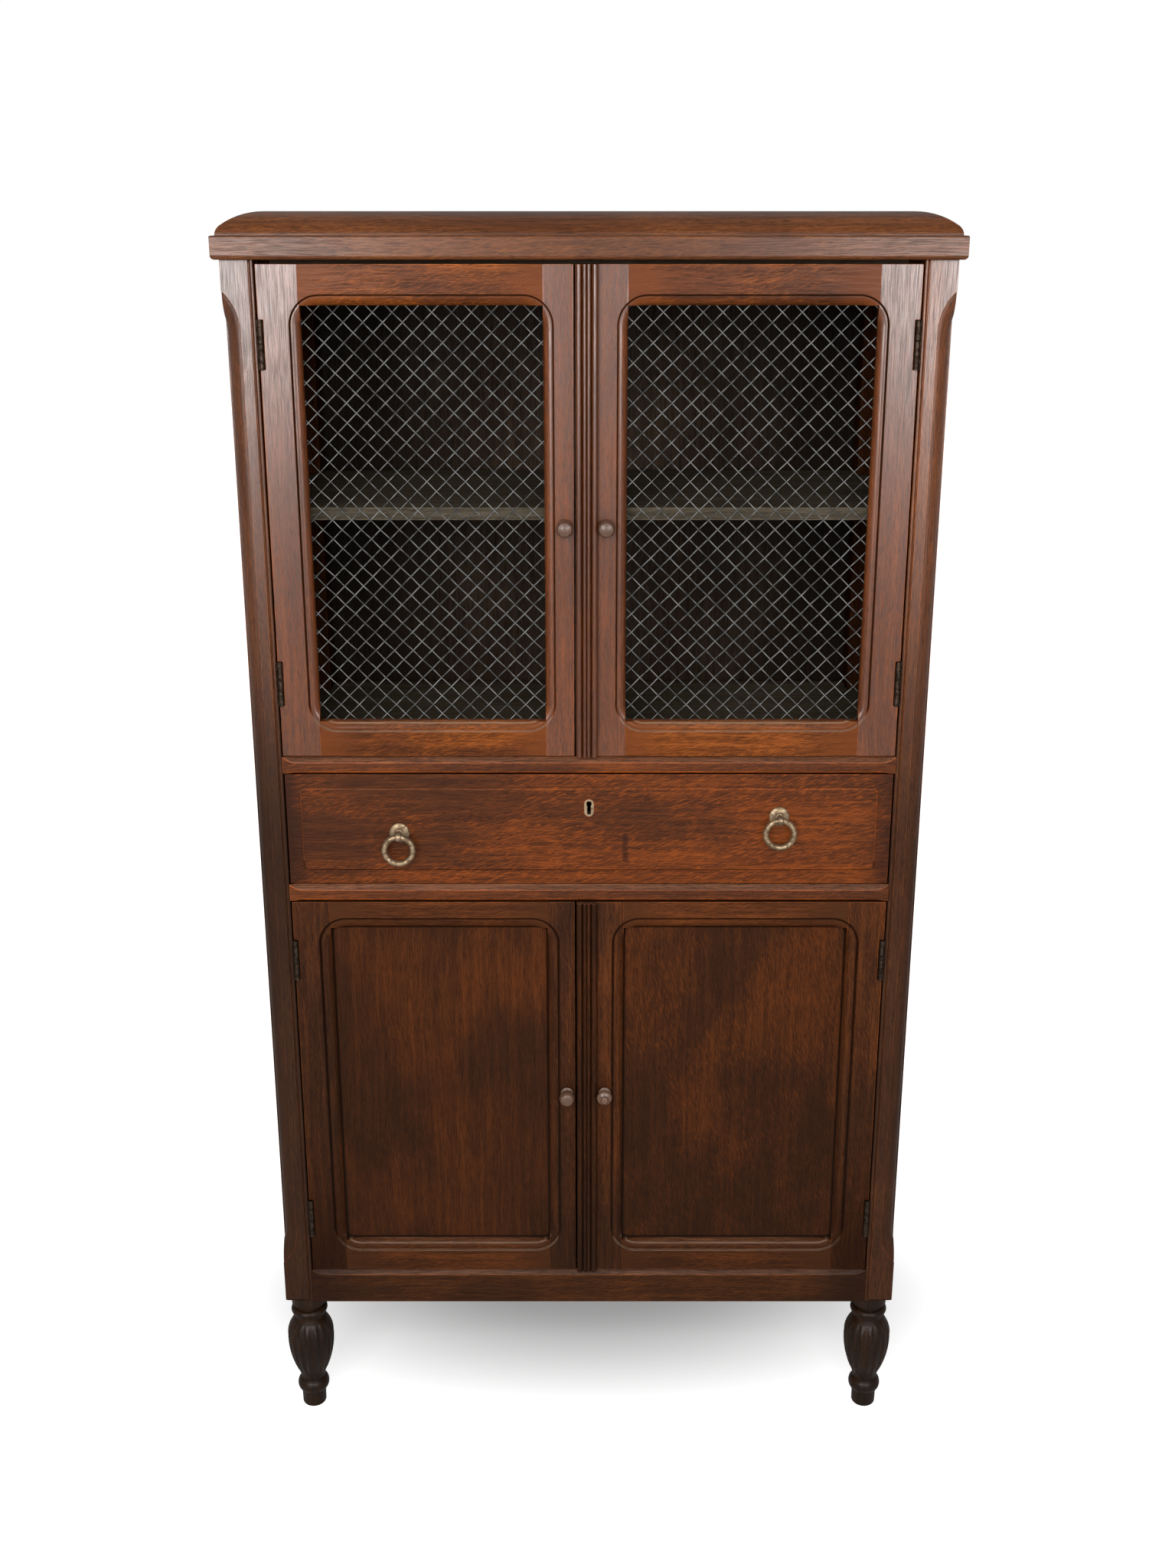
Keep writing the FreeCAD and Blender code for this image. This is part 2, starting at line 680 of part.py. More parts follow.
def knuckle_spans(z):
    """Where the knuckles of a hinge at height z start and end, from the bottom up."""
    pitch = hinge_length / hinge_knuckles
    low = z - hinge_length / 2
    return [(low + pitch * number + knuckle_gap / 2, low + pitch * (number + 1) - knuckle_gap / 2)
            for number in range(hinge_knuckles)]


def hinge_half(z, plate_x, spans, others, bore):
    """One leaf of a right-hand hinge with its knuckles: plate_x is the inner face of its plate."""
    plate_out = plate_x + leaf_thickness
    low, high = z - hinge_length / 2, z + hinge_length / 2
    leaf = box(plate_x, plate_out, pin_y, pin_y + leaf_width, low, high)
    clear = hinge_radius + leaf_gap
    keep_away = [cylinder(Vector(pin_x, pin_y, bottom - knuckle_gap), Vector(pin_x, pin_y, top + knuckle_gap),
                          clear) for bottom, top in others]
    leaf = leaf.cut(keep_away)
    knuckles = [cylinder(Vector(pin_x, pin_y, bottom), Vector(pin_x, pin_y, top), hinge_radius)
                for bottom, top in spans]
    leaf = leaf.fuse(knuckles)
    hole = cylinder(Vector(pin_x, pin_y, low - cut_over), Vector(pin_x, pin_y, high + cut_over), bore)
    return leaf.cut(hole).removeSplitter()


def hinge_recess(z):
    """What a hinge takes out of the edge of a right-hand door: a bed for its leaf and for the knuckles."""
    low, high = z - hinge_length / 2 - joint_play, z + hinge_length / 2 + joint_play
    bed = box(door_edge - leaf_thickness, door_edge + cut_over, -cut_over, pin_y + leaf_width + joint_play,
              low, high)
    trough = cylinder(Vector(pin_x, pin_y, low), Vector(pin_x, pin_y, high), hinge_radius + leaf_gap)
    return bed.fuse(trough)


def knob(x, z, stepped):
    """A small turned knob with a dowel, its axis along y. A stepped one ends in a narrower button."""
    base, neck, head = knob_base_diameter / 2, knob_neck_diameter / 2, knob_diameter / 2
    dowel = knob_dowel_diameter / 2
    crown = knob_length - (knob_button if stepped else 0.0)
    slim = knob_base_thickness + knob_neck_length
    wide = slim + knob_swell
    steps = [(dowel, -knob_dowel_length), (dowel, 0), (base, 0),
             ((base + 0.7, knob_base_thickness / 2), (base, knob_base_thickness)),
             ((neck + 0.9, slim - 3.0), (neck, slim)), ((neck + 1.4, slim + knob_swell / 2), (head - 0.8, wide)),
             ((head, (wide + crown) / 2), (head - 2.2, crown - 1.6))]
    if stepped:
        steps += [(head / 2, crown), ((head / 2 + 0.5, crown + knob_button / 2), (head / 3, knob_length)),
                  (0, knob_length)]
    else:
        steps += [(head / 2, crown - 0.6), ((head / 4, crown - 0.1), (pin_radius / 2, crown)), (0, crown)]
    face = outline(lambda r, out: Vector(x + r, -out, z), (0, -knob_dowel_length), *steps)
    return face.revolve(Vector(x, 0, z), Vector(0, 1, 0), 360)


def wire_layer(x0, x1, z0, z1, y, rising):
    """One layer of parallel diagonal wires and the bound edge that joins them."""
    area = box(x0, x1, y, y + wire_size, z0, z1)
    inside = box(x0 + mesh_edge_width, x1 - mesh_edge_width, y - 1, y + wire_size + 1,
                 z0 + mesh_edge_width, z1 - mesh_edge_width)
    border = area.cut(inside)
    middle = Vector((x0 + x1) / 2, 0, (z0 + z1) / 2)
    reach = (x1 - x0) + (z1 - z0)
    count = int(reach / mesh_pitch / 2) + 1
    wires = []
    for number in range(-count, count + 1):
        centre = middle + Vector(number * mesh_pitch, 0, 0)
        wire = box(-wire_size / 2, wire_size / 2, y, y + wire_size, -reach, reach)
        wire.rotate(Vector(0, 0, 0), Vector(0, 1, 0), 45 if rising else -45)
        wire.translate(centre)
        clipped = wire.common(area)
        if clipped.Volume > wire_size ** 3:
            wires.append(clipped)
    return border.fuse(wires).removeSplitter()


def astragal(z0, z1):
    """The reeded strip that covers the meeting of a pair of doors, planted on the right one: a reed along
    each edge and two finer reeds together in the middle."""
    x = right_meeting_x
    quirk = (astragal_width - 2 * outer_reed - 2 * inner_reed) / 2
    steps = []
    for width, rise, gap in ((outer_reed, outer_reed_rise, quirk), (inner_reed, inner_reed_rise, 0.0),
                             (inner_reed, inner_reed_rise, quirk), (outer_reed, outer_reed_rise, 0.0)):
        foot = astragal_base + outer_reed_rise - rise
        steps += [(x, -foot), ((x + width / 2, -foot - rise), (x + width, -foot))]
        x += width
        if gap:
            steps += [(x, -quirk_floor), (x + gap, -quirk_floor)]
            x += gap
    face = outline(plan(z0), (right_meeting_x, 0), *steps, (right_meeting_x + astragal_width, 0))
    return face.extrude(Vector(0, 0, z1 - z0))


def make_door(body, x0, x1, z0, z1, stile0, stile1, bottom_rail, top_rail, meshed, hinge_right,
              hinge_heights, knob_x, stepped):
    """One framed door. Its pieces are saved as nodes whose names start with the door's own."""
    in0, in1, inz0, inz1 = x0 + stile0, x1 - stile1, z0 + bottom_rail, z1 - top_rail
    moulding = frame_moulding(in0, in1, inz0, inz1, upper_moulding_width if meshed else lower_moulding_width)
    rebate_back = door_thickness + cut_over if meshed else mesh_y + panel_thickness + joint_play
    rebate = box(in0 - door_rebate - joint_play, in1 + door_rebate + joint_play, mesh_y - joint_play,
                 rebate_back, inz0 - door_rebate - joint_play, inz1 + door_rebate + joint_play)
    sockets = []
    rails = []
    for low, high, inner in ((z0, inz0, 1), (inz1, z1, -1)):
        near, far = door_rebate + door_tenon_haunch, door_tenon_shoulder
        tenon_low, tenon_high = (low + far, high - near) if inner == 1 else (low + near, high - far)
        tenon = (in0 - door_tenon * stile0 / hinge_stile, in1 + door_tenon * stile1 / hinge_stile,
                 door_tenon_depth, door_tenon_depth + door_tenon_thickness, tenon_low, tenon_high)
        sockets.append(box(*grown(tenon, joint_play)))
        rail = box(in0, in1, 0, door_thickness, low, high).fuse(box(*tenon))
        rails.append(rail.cut(moulding + [rebate]))
    knob_z = (z0 + z1) / 2 - (upper_knob_drop if meshed else 0.0)
    dowel_hole = cylinder(Vector(knob_x, -cut_over, knob_z), Vector(knob_x, knob_dowel_length, knob_z),
                          knob_dowel_diameter / 2)
    stiles = []
    for left, right in ((x0, in0), (in1, x1)):
        stile = box(left, right, 0, door_thickness, z0, z1)
        stiles.append(stile.cut(moulding + [rebate, dowel_hole] + sockets))
    hinge_index = 1 if hinge_right else 0
    recesses = [hinge_recess(z) for z in hinge_heights]
    if not hinge_right:
        recesses = [mirrored(recess) for recess in recesses]
    stiles[hinge_index] = stiles[hinge_index].cut(recesses)
    save(f"{body}_hinge_stile", stiles[hinge_index])
    save(f"{body}_meeting_stile", stiles[1 - hinge_index])
    save(f"{body}_rails", *rails)
    if meshed:
        edge = door_rebate
        limits = (in0 - edge, in1 + edge, inz0 - edge, inz1 + edge)
        save(f"{body}_wire_mesh", wire_layer(*limits, mesh_y, True),
             wire_layer(*limits, mesh_y + wire_size, False))
        bead_y = mesh_y + 2 * wire_size
        beads = [box(limits[0], limits[1], bead_y, door_thickness, limits[2], limits[2] + bead_width),
                 box(limits[0], limits[1], bead_y, door_thickness, limits[3] - bead_width, limits[3]),
                 box(limits[0], limits[0] + bead_width, bead_y, door_thickness, limits[2] + bead_width,
                     limits[3] - bead_width),
                 box(limits[1] - bead_width, limits[1], bead_y, door_thickness, limits[2] + bead_width,
                     limits[3] - bead_width)]
        save(f"{body}_mesh_beads", *beads)
    else:
        save(f"{body}_panel", box(in0 - door_rebate, in1 + door_rebate, mesh_y, mesh_y + panel_thickness,
                                  inz0 - door_rebate, inz1 + door_rebate))
    save(f"{body}_knob", knob(knob_x, knob_z, stepped))
    leaves = [hinge_half(z, door_edge - leaf_thickness, knuckle_spans(z)[1::2], knuckle_spans(z)[0::2],
                         pin_radius + pin_play) for z in hinge_heights]
    if not hinge_right:
        leaves = [mirrored(leaf) for leaf in leaves]
    save(f"{body}_hinge_leaves", *leaves)
    if hinge_right:
        save(f"{body}_astragal", astragal(z0, z1))


upper_hinges = (z_upper_door + upper_hinge_bottom, z_upper_door_top - upper_hinge_top)
lower_hinges = (z_lower_door + lower_hinge_bottom, z_lower_door_top - lower_hinge_top)

for level, z0, z1, bottom_rail, top_rail, meshed, heights in (
        ("upper", z_upper_door, z_upper_door_top, upper_bottom_rail, upper_top_rail, True, upper_hinges),
        ("lower", z_lower_door, z_lower_door_top, lower_bottom_rail, lower_top_rail, False, lower_hinges)):
    make_door(f"{level}_left_door", -door_edge, meeting_x, z0, z1, hinge_stile, left_meeting_stile,
              bottom_rail, top_rail, meshed, False, heights, left_knob_x, False)
    make_door(f"{level}_right_door", right_meeting_x, door_edge, z0, z1, right_meeting_stile, hinge_stile,
              bottom_rail, top_rail, meshed, True, heights, right_knob_x, not meshed)

post_leaves = []
pins = []
for z in upper_hinges + lower_hinges:
    post_leaves.append(hinge_half(z, post_edge - leaf_thickness, knuckle_spans(z)[0::2],
                                  knuckle_spans(z)[1::2], pin_radius))
    pins.append(cylinder(Vector(pin_x, pin_y, z - hinge_length / 2),
                         Vector(pin_x, pin_y, z + hinge_length / 2), pin_radius))
save("post_hinge_leaves", *both_sides(*post_leaves))
save("hinge_pins", *both_sides(*pins))

# ---------------------------------------------------------------- drawer
drawer_side_inner = drawer_side_outer - drawer_side_thickness
drawer_back_y = back_rail_y - drawer_rear_gap
box_low = z_drawer_rail_top + drawer_running_gap
box_high = z_drawer_top - drawer_headroom


def side_tongue(play, over):
    """The dovetailed tongue on the front end of the right drawer side. With play and over it is the
    housing for it, drawn past the back of the drawer front."""
    slope = drawer_side_thickness / 5 / drawer_housing
    pinch = slope * (drawer_housing + over)
    root, tip = door_thickness + over, door_thickness - drawer_housing - play
    face = outline(plan(box_low - over), (drawer_side_inner + pinch - play, root),
                   (drawer_side_outer - pinch + play, root), (drawer_side_outer + play, tip),
                   (drawer_side_inner - play, tip))
    return face.extrude(Vector(0, 0, box_high - box_low + over + play))


def keyhole_outline(width, height, y):
    """A plate with a round top and a round foot."""
    radius = width / 2
    return outline(front_view(y), (-radius, keyhole_z - height / 2 + radius),
                   ((0, keyhole_z - height / 2), (radius, keyhole_z - height / 2 + radius)),
                   (radius, keyhole_z + height / 2 - radius),
                   ((0, keyhole_z + height / 2), (-radius, keyhole_z + height / 2 - radius)))


field = box(-door_edge + field_border, door_edge - field_border, -cut_over, field_step,
            z_drawer + field_border, z_drawer_top - field_border)
field_edges = [edge for edge in field.Edges if abs(edge.tangentAt(edge.FirstParameter).y) > 0.99]
field = field.makeFillet(field_corner, field_edges)
border = box(-door_edge - cut_over, door_edge + cut_over, -cut_over, field_step, z_drawer - cut_over,
             z_drawer_top + cut_over).cut(field)
lock_pocket = (-lock_width / 2, lock_width / 2, door_thickness - lock_thickness, door_thickness,
               keyhole_z - lock_height / 2, keyhole_z + lock_height / 2)
liner_hole = keyhole_outline(liner_width, liner_height, -cut_over).extrude(
    Vector(0, door_thickness + cut_over - lock_thickness, 0))
key_head_z = keyhole_z + liner_height / 2 - liner_width / 2
key_foot_z = keyhole_z - liner_height / 2 + liner_width / 2 - key_slot / 4
keyway = cylinder(Vector(0, -cut_over, key_head_z), Vector(0, door_thickness, key_head_z), key_round / 2).fuse(
    box(-key_slot / 2, key_slot / 2, -cut_over, door_thickness, key_foot_z - key_slot / 2, key_head_z))
liner_depth = door_thickness - lock_thickness
liner = keyhole_outline(liner_width, liner_height, 0).extrude(Vector(0, liner_depth, 0)).cut(keyway)

drawer_front = box(-door_edge, door_edge, 0, door_thickness, z_drawer, z_drawer_top)
drawer_front = drawer_front.cut([border, liner_hole, box(*grown(lock_pocket, joint_play))]
                                + both_sides(side_tongue(joint_play, cut_over)))

side = box(drawer_side_inner, drawer_side_outer, door_thickness, drawer_back_y, box_low, box_high)
side = side.fuse(side_tongue(0.0, 0.0)).removeSplitter()
bottom_z = box_low + drawer_bottom_rise
bottom_limits = (-drawer_side_inner - drawer_side_thickness / 2, drawer_side_inner + drawer_side_thickness / 2,
                 door_thickness - drawer_housing / 2, drawer_back_y, bottom_z,
                 bottom_z + drawer_bottom_thickness)
bottom_groove = box(*grown(bottom_limits, joint_play))
drawer_front = drawer_front.cut(bottom_groove)
side = side.cut(bottom_groove)
back = box(-drawer_side_inner, drawer_side_inner, drawer_back_y - drawer_side_thickness, drawer_back_y,
           bottom_z + drawer_bottom_thickness, box_high)

lock = box(*lock_pocket).cut(keyway)

save("drawer_front", drawer_front)
save("drawer_sides", *both_sides(side))
save("drawer_back", back)
save("drawer_bottom", box(*bottom_limits))
save("keyhole_liner", liner)
save("drawer_lock", lock)


# ---------------------------------------------------------------- ring pulls
def pull_rose(x, z):
    """A round rose with a stem whose ball is bored along x for the ring."""
    profile = outline(
        lambda r, out: Vector(x + r, -out, z), (0, 0), (rose_diameter / 2, 0), (rose_diameter / 2, 0.8),
        ((rose_diameter * 0.36, rose_thickness * 0.9), (stem_diameter / 2 + 1.5, rose_thickness)),
        ((stem_diameter / 2 + 0.3, rose_thickness + 0.6), (stem_diameter / 2, rose_thickness + 2.5)),
        (stem_diameter / 2, pull_reach), (0, pull_reach))
    rose = profile.revolve(Vector(x, 0, z), Vector(0, 1, 0), 360)
    eye = Part.makeSphere(eye_diameter / 2, Vector(x, -pull_reach, z))
    eye = eye.common(box(x - eye_width / 2, x + eye_width / 2, -pull_reach - eye_diameter, 0,
                         z - eye_diameter, z + eye_diameter))
    bore = cylinder(Vector(x - eye_diameter, -pull_reach, z), Vector(x + eye_diameter, -pull_reach, z),
                    ring_wire / 2 + ring_play)
    return rose.fuse(eye).cut(bore).removeSplitter()


def pull_ring(x, z):
    """The ring hangs in the eye: its own centre lies below it."""
    sweep = (ring_diameter - ring_wire) / 2
    return Part.makeTorus(sweep, ring_wire / 2, Vector(x, -pull_reach, z - sweep), Vector(0, 1, 0))


save("pull_roses", pull_rose(-pull_x, left_pull_z), pull_rose(pull_x, right_pull_z))
save("left_pull_ring", pull_ring(-pull_x, left_pull_z))
save("right_pull_ring", pull_ring(pull_x, right_pull_z))
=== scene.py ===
# %% [markdown]
# # A pie safe, dressed around its CAD frame
# A pie safe is a pantry cupboard whose doors are filled with something that lets air through and keeps
# flies out. This one is oak, darkened and waxed, with woven wire in the two upper doors, a drawer with ring
# pulls, two panelled doors below and four turned, fluted legs. The CAD model brings the shapes and the
# joints; this lesson adds the finish of each piece, softens its edges and weaves the wire.

# %% Load the CAD frame
import math
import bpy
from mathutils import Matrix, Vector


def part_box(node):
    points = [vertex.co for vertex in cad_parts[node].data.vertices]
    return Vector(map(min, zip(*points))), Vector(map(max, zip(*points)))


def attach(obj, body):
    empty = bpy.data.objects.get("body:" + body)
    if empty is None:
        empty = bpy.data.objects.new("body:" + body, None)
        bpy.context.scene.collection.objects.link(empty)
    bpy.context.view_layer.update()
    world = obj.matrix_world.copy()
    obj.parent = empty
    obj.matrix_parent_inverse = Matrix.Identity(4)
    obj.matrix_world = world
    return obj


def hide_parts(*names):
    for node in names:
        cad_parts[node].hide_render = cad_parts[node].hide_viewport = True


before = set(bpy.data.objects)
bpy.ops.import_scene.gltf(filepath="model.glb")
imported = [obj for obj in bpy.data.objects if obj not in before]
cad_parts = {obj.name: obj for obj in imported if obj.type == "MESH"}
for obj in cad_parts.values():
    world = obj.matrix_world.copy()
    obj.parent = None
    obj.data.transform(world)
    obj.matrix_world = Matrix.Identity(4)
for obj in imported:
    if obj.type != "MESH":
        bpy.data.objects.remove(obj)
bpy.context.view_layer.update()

from types import SimpleNamespace

import bmesh
import bpy
import numpy as np
from mathutils import Vector

MM = 0.001

# %% [markdown]
# ## Colours
# A polisher names a stain; here it is an sRGB hex code, the way a colour picker shows it. A shader works in
# linear light, so one function turns a code into linear values. No two boards take a stain alike, so another
# one makes a code a little lighter or darker.

# %% Colour codes
def linear(code):
    """sRGB to linear: c / 12.92 below 0.04045, else ((c + 0.055) / 1.055) to the power 2.4."""
    srgb = np.array([int(code[place:place + 2], 16) for place in (1, 3, 5)]) / 255
    return (*np.where(srgb <= 0.04045, srgb / 12.92, ((srgb + 0.055) / 1.055) ** 2.4).tolist(), 1.0)


def lighter(code, factor):
    """The same hue, with each sRGB channel scaled by the factor and held below 255."""
    values = [min(255, round(int(code[place:place + 2], 16) * factor)) for place in (1, 3, 5)]
    return "#" + "".join(f"{value:02x}" for value in values)


print("middle grey in linear light:", round(linear("#808080")[0], 3))

# %% [markdown]
# ## Nodes
# A material is a tree of nodes. One function adds a node with its settings and links, so that a finish reads
# as a list of what feeds what. On it stand the two moves that a polisher makes again and again: to decide
# where something goes and how softly it ends, and to lay a colour there over what is already on.

# %% A node, and a new finish
def node(tree, kind, values, output=None):
    """Adds a node. Each value is a property of the node, the value of one of its sockets, or an output of
    another node, which is linked to that socket. Returns the output that is asked for, or else the node."""
    made = tree.nodes.new(kind)
    for key, value in values.items():
        if isinstance(value, bpy.types.NodeSocket):
            tree.links.new(value, made.inputs[key])
        elif isinstance(key, str) and hasattr(made, key):
            setattr(made, key, value)
        else:
            made.inputs[key].default_value = value
    return made if output is None else made.outputs[output]


def new_finish(name, code):
    """A material with an empty tree, its Object coordinates, and its colour so far."""
    material = bpy.data.materials.new(name)
    material.use_nodes = True
    tree = material.node_tree
    tree.nodes.clear()
    coords = node(tree, "ShaderNodeTexCoord", {}, "Object")
    return SimpleNamespace(material=material, tree=tree, coords=coords, colour=linear(code))


# %% Where it goes, and what is laid there
MIX_A, MIX_B, MIX_OUT = 6, 7, 2      # the colour sockets of a Mix node


def share(tree, *steps):
    """A share from 0 to 1 at each point: the product of soft steps. A step is (pattern, low, high, share
    below low, share above high), with an S-curve from the one share to the other."""
    shares = [node(tree, "ShaderNodeMapRange",
                   {"interpolation_type": "SMOOTHSTEP", "Value": pattern, "From Min": low, "From Max": high,
                    "To Min": below, "To Max": above}, "Result")
              for pattern, low, high, below, above in steps]
    while len(shares) > 1:
        shares[:2] = [node(tree, "ShaderNodeMath", {"operation": "MULTIPLY", 0: shares[0], 1: shares[1]}, 0)]
    return shares[0]


def lay(finish, code, amount):
    """Lays a colour over a finish. amount is the share of it at each point."""
    finish.colour = node(finish.tree, "ShaderNodeMix",
                         {"data_type": "RGBA", 0: amount, MIX_A: finish.colour, MIX_B: linear(code)}, MIX_OUT)


# %% [markdown]
# ## Fumed and waxed oak
# Oak is ring-porous: each year leaves a band of open pores, which show as short dark dashes along the
# grain. Cut near the rays, it also shows flecks: thin pale dashes that lie a little across the grain. A flat
# picture of wood would break at every edge, so the pattern is worked out in three dimensions from the
# piece's own coordinates and drawn out along the grain. It then wraps round an edge as real wood does.

# %% The patterns of oak
# Width across the grain, that width as a share of the length along it, shift, and detail and roughness of
# the noise. The shift keeps one pattern from following another.
PATTERNS = {
    "ring": (7 * MM, 0.03, 0, 3.0, 0.6),         # from one dark band of the grain to the next
    "line": (1.0 * MM, 0.025, 3, 2.0, 0.6),      # fine streaks
    "pore": (0.8 * MM, 0.06, 7, 2.0, 0.6),       # twice as coarse as real pores, which would not show
    "fleck": (1.5 * MM, 0.11, 11, 1.0, 0.5),
    "patch": (130 * MM, 0.5, 17, 3.0, 0.6),      # uneven stain and fading
}
FLECK_TILT = math.radians(18)
SWAY_LENGTH = 180 * MM        # the grain of a board sways over about this length
SWAY = 12 * MM                # and by up to this much
AXES = {"x": 0, "y": 1, "z": 2}


def add_grain(wood, grain, seed):
    """Gives a finish the patterns of oak, and the place of a point as x, y and z. A pattern is noise in
    coordinates that are swayed, p + SWAY * broad noise, and squeezed along the grain, so that it comes out
    longer than wide. seed moves all of them, so that boards differ."""
    tree = wood.tree
    place = node(tree, "ShaderNodeSeparateXYZ", {"Vector": wood.coords})
    wood.x, wood.y, wood.z = (place.outputs[axis] for axis in "XYZ")
    sway = node(tree, "ShaderNodeTexNoise", {"Scale": 1 / SWAY_LENGTH, "Detail": 1.0, "Vector": wood.coords},
                "Color")
    bent = node(tree, "ShaderNodeVectorMath",
                {"operation": "MULTIPLY_ADD", 0: sway, 1: (SWAY,) * 3, 2: wood.coords}, "Vector")
    tilted = node(tree, "ShaderNodeMapping", {"Rotation": (0.0, FLECK_TILT, 0.0), "Vector": bent}, "Vector")
    paths = {"fleck": tilted, "patch": wood.coords}
    for name, (width, squeeze, shift, detail, roughness) in PATTERNS.items():
        scale = [1.0, 1.0, 1.0]
        scale[AXES[grain]] = squeeze
        moved = seed + shift
        drawn = node(tree, "ShaderNodeMapping",
                     {"Scale": scale, "Location": (moved, moved * 1.7, moved * 0.6),
                      "Vector": paths.get(name, bent)}, "Vector")
        setattr(wood, name, node(tree, "ShaderNodeTexNoise",
                                 {"Scale": 1 / width, "Detail": detail, "Roughness": roughness,
                                  "Vector": drawn}, "Fac"))


print("patterns:", ", ".join(PATTERNS))

# %% [markdown]
# ## Stain in the grain
# Stain sinks into the soft bands, the streaks and the pores, and slides off the hard flecks, which stay pale
# and only show where the ground is warm. Faces that look up get a painted highlight: they are painted paler
# under the grain, as light from above would make them. Noise stays near 0.5, so each pair below says where
# one thing ends and the other has begun.

# %% Stain
RING_EDGE = (0.40, 0.66)
LINE_EDGE = (0.38, 0.58)
PORE_EDGE = (0.55, 0.64)
FLECK_EDGE = (0.54, 0.62)
PATCH_EDGE = (0.40, 0.66)
FLECK_GROUND = (0.36, 0.54)   # of the patches: flecks show above it
FACING_UP = (0.25, 0.6)       # of the upward part of a face's normal
FACING_UP_HIGHLIGHT = "#8f6248"            # painted highlight on faces that look up


def stain_grain(wood, dark, warm, rings, lines, pores, flecks, patches, rubbed):
    """Stains the patterns of a finish, each by its amount from 0 to 1, and paints a highlight on faces that
    look up.
    """
    tree = wood.tree
    lay(wood, warm, share(tree, (wood.patch, *PATCH_EDGE, 0.0, patches)))
    if rubbed:
        # painted highlight: faces that look up are painted paler
        facing = node(tree, "ShaderNodeNewGeometry", {}, "True Normal")
        upward = node(tree, "ShaderNodeSeparateXYZ", {"Vector": facing}, "Z")
        lay(wood, FACING_UP_HIGHLIGHT, share(tree, (upward, *FACING_UP, 0.0, rubbed)))
    lay(wood, dark, share(tree, (wood.ring, *RING_EDGE, rings, 0.0)))
    lay(wood, dark, share(tree, (wood.line, *LINE_EDGE, lines, 0.0)))
    lay(wood, warm, share(tree, (wood.fleck, *FLECK_EDGE, 0.0, flecks),
                          (wood.patch, *FLECK_GROUND, 0.0, 1.0)))
    lay(wood, dark, share(tree, (wood.pore, *PORE_EDGE, 0.0, pores)))


# %% [markdown]
# ## Where the marks go
# Some marks follow the shape of the cupboard and not its grain: painted shade in the groove of a moulding,
# darker ends and feet, a spot on the drawer. Painting them by hand would need an image, so each is placed by a
# distance in real millimetres: from a rectangle with round corners, which is what every moulding here runs
# along, or from a line up the middle.

# %% Distances
ANY_DEPTH = 1000.0            # half size along y of an outline that is the same at any depth


def outline_distance(wood, outline):
    """How far a point lies outside a rectangle with round corners, seen from the front. With q the distance
    from its middle along x and z, less its half size, plus the corner radius, and cut off at 0, it is
    |q| - radius. Inside it falls no lower than -radius, so a band inside has to be narrower than the
    radius. outline is (low x, high x, low z, high z, radius)."""
    x0, x1, z0, z1, radius = outline
    tree = wood.tree
    point = wood.coords
    for operation, by in (("SUBTRACT", ((x0 + x1) / 2, 0.0, (z0 + z1) / 2)),
                          ("ABSOLUTE", (0.0, 0.0, 0.0)),
                          ("SUBTRACT", ((x1 - x0) / 2 - radius, ANY_DEPTH, (z1 - z0) / 2 - radius)),
                          ("MAXIMUM", (0.0, 0.0, 0.0))):
        point = node(tree, "ShaderNodeVectorMath", {"operation": operation, 0: point, 1: by}, "Vector")
    length = node(tree, "ShaderNodeVectorMath", {"operation": "LENGTH", 0: point}, "Value")
    return node(tree, "ShaderNodeMath", {"operation": "SUBTRACT", 0: length, 1: radius}, 0)


def from_middle(wood, middle=0.0, ragged=0.0):
    """How far a point lies to the left or right of middle, plus ragged times the ring pattern: an edge drawn
    at such a distance runs in and out with the grain, as a stain does."""
    tree = wood.tree
    off = node(tree, "ShaderNodeMath", {"operation": "SUBTRACT", 0: wood.x, 1: middle}, 0)
    far = node(tree, "ShaderNodeMath", {"operation": "ABSOLUTE", 0: off}, 0)
    return node(tree, "ShaderNodeMath", {"operation": "MULTIPLY_ADD", 0: wood.ring, 1: ragged, 2: far}, 0)


# %% [markdown]
# ## Painted shade and highlights along a moulding
# A moulding has a small step, the quirk, and a crest beside it. Painted shade goes in the quirk and dulls the
# polish there. At the bottom of a door frame the moulding looks up towards the light, so there most of the
# painted shade is left out and the two crests get painted highlights. Both are part of the finish, not of the
# shape.

# %% Painted shade in the quirk, painted highlights on the crests
PAINTED_SHADE = "#120d0a"
CREST_HIGHLIGHT = "#a98a72"
GROOVE_SHADE_AMOUNT = 0.85
GROOVE_SHADE_WIDTH = (0.4, 1.3)       # of the groove's width to each side: full painted shade, and none
NO_POLISH = 0.6               # the share of painted shade that hides all polish
SHADE_LEFT_LOW = 0.25                  # the share of painted shade that is left below the bottom, where the moulding looks up
LOW_SHADE_FADE = 20 * MM
TOP_FADE = 5 * MM
CREST = 10 * MM               # from the step of a moulding to its crest
CREST_LINE = (0.6 * MM, 1.4 * MM)
CREST_AMOUNT = 0.9
CREST_FADE = (-2 * MM, 6 * MM)       # from the height below which the crests get painted highlights
CREST_BREAKS = (0.3, 0.6)     # of the streaks: the painted highlight is weak below it
CREST_WEAK = 0.4


def dull(wood, left):
    """Takes polish away. left is the share that stays."""
    wood.polish = node(wood.tree, "ShaderNodeMath", {"operation": "MULTIPLY", 0: wood.polish, 1: left}, 0)


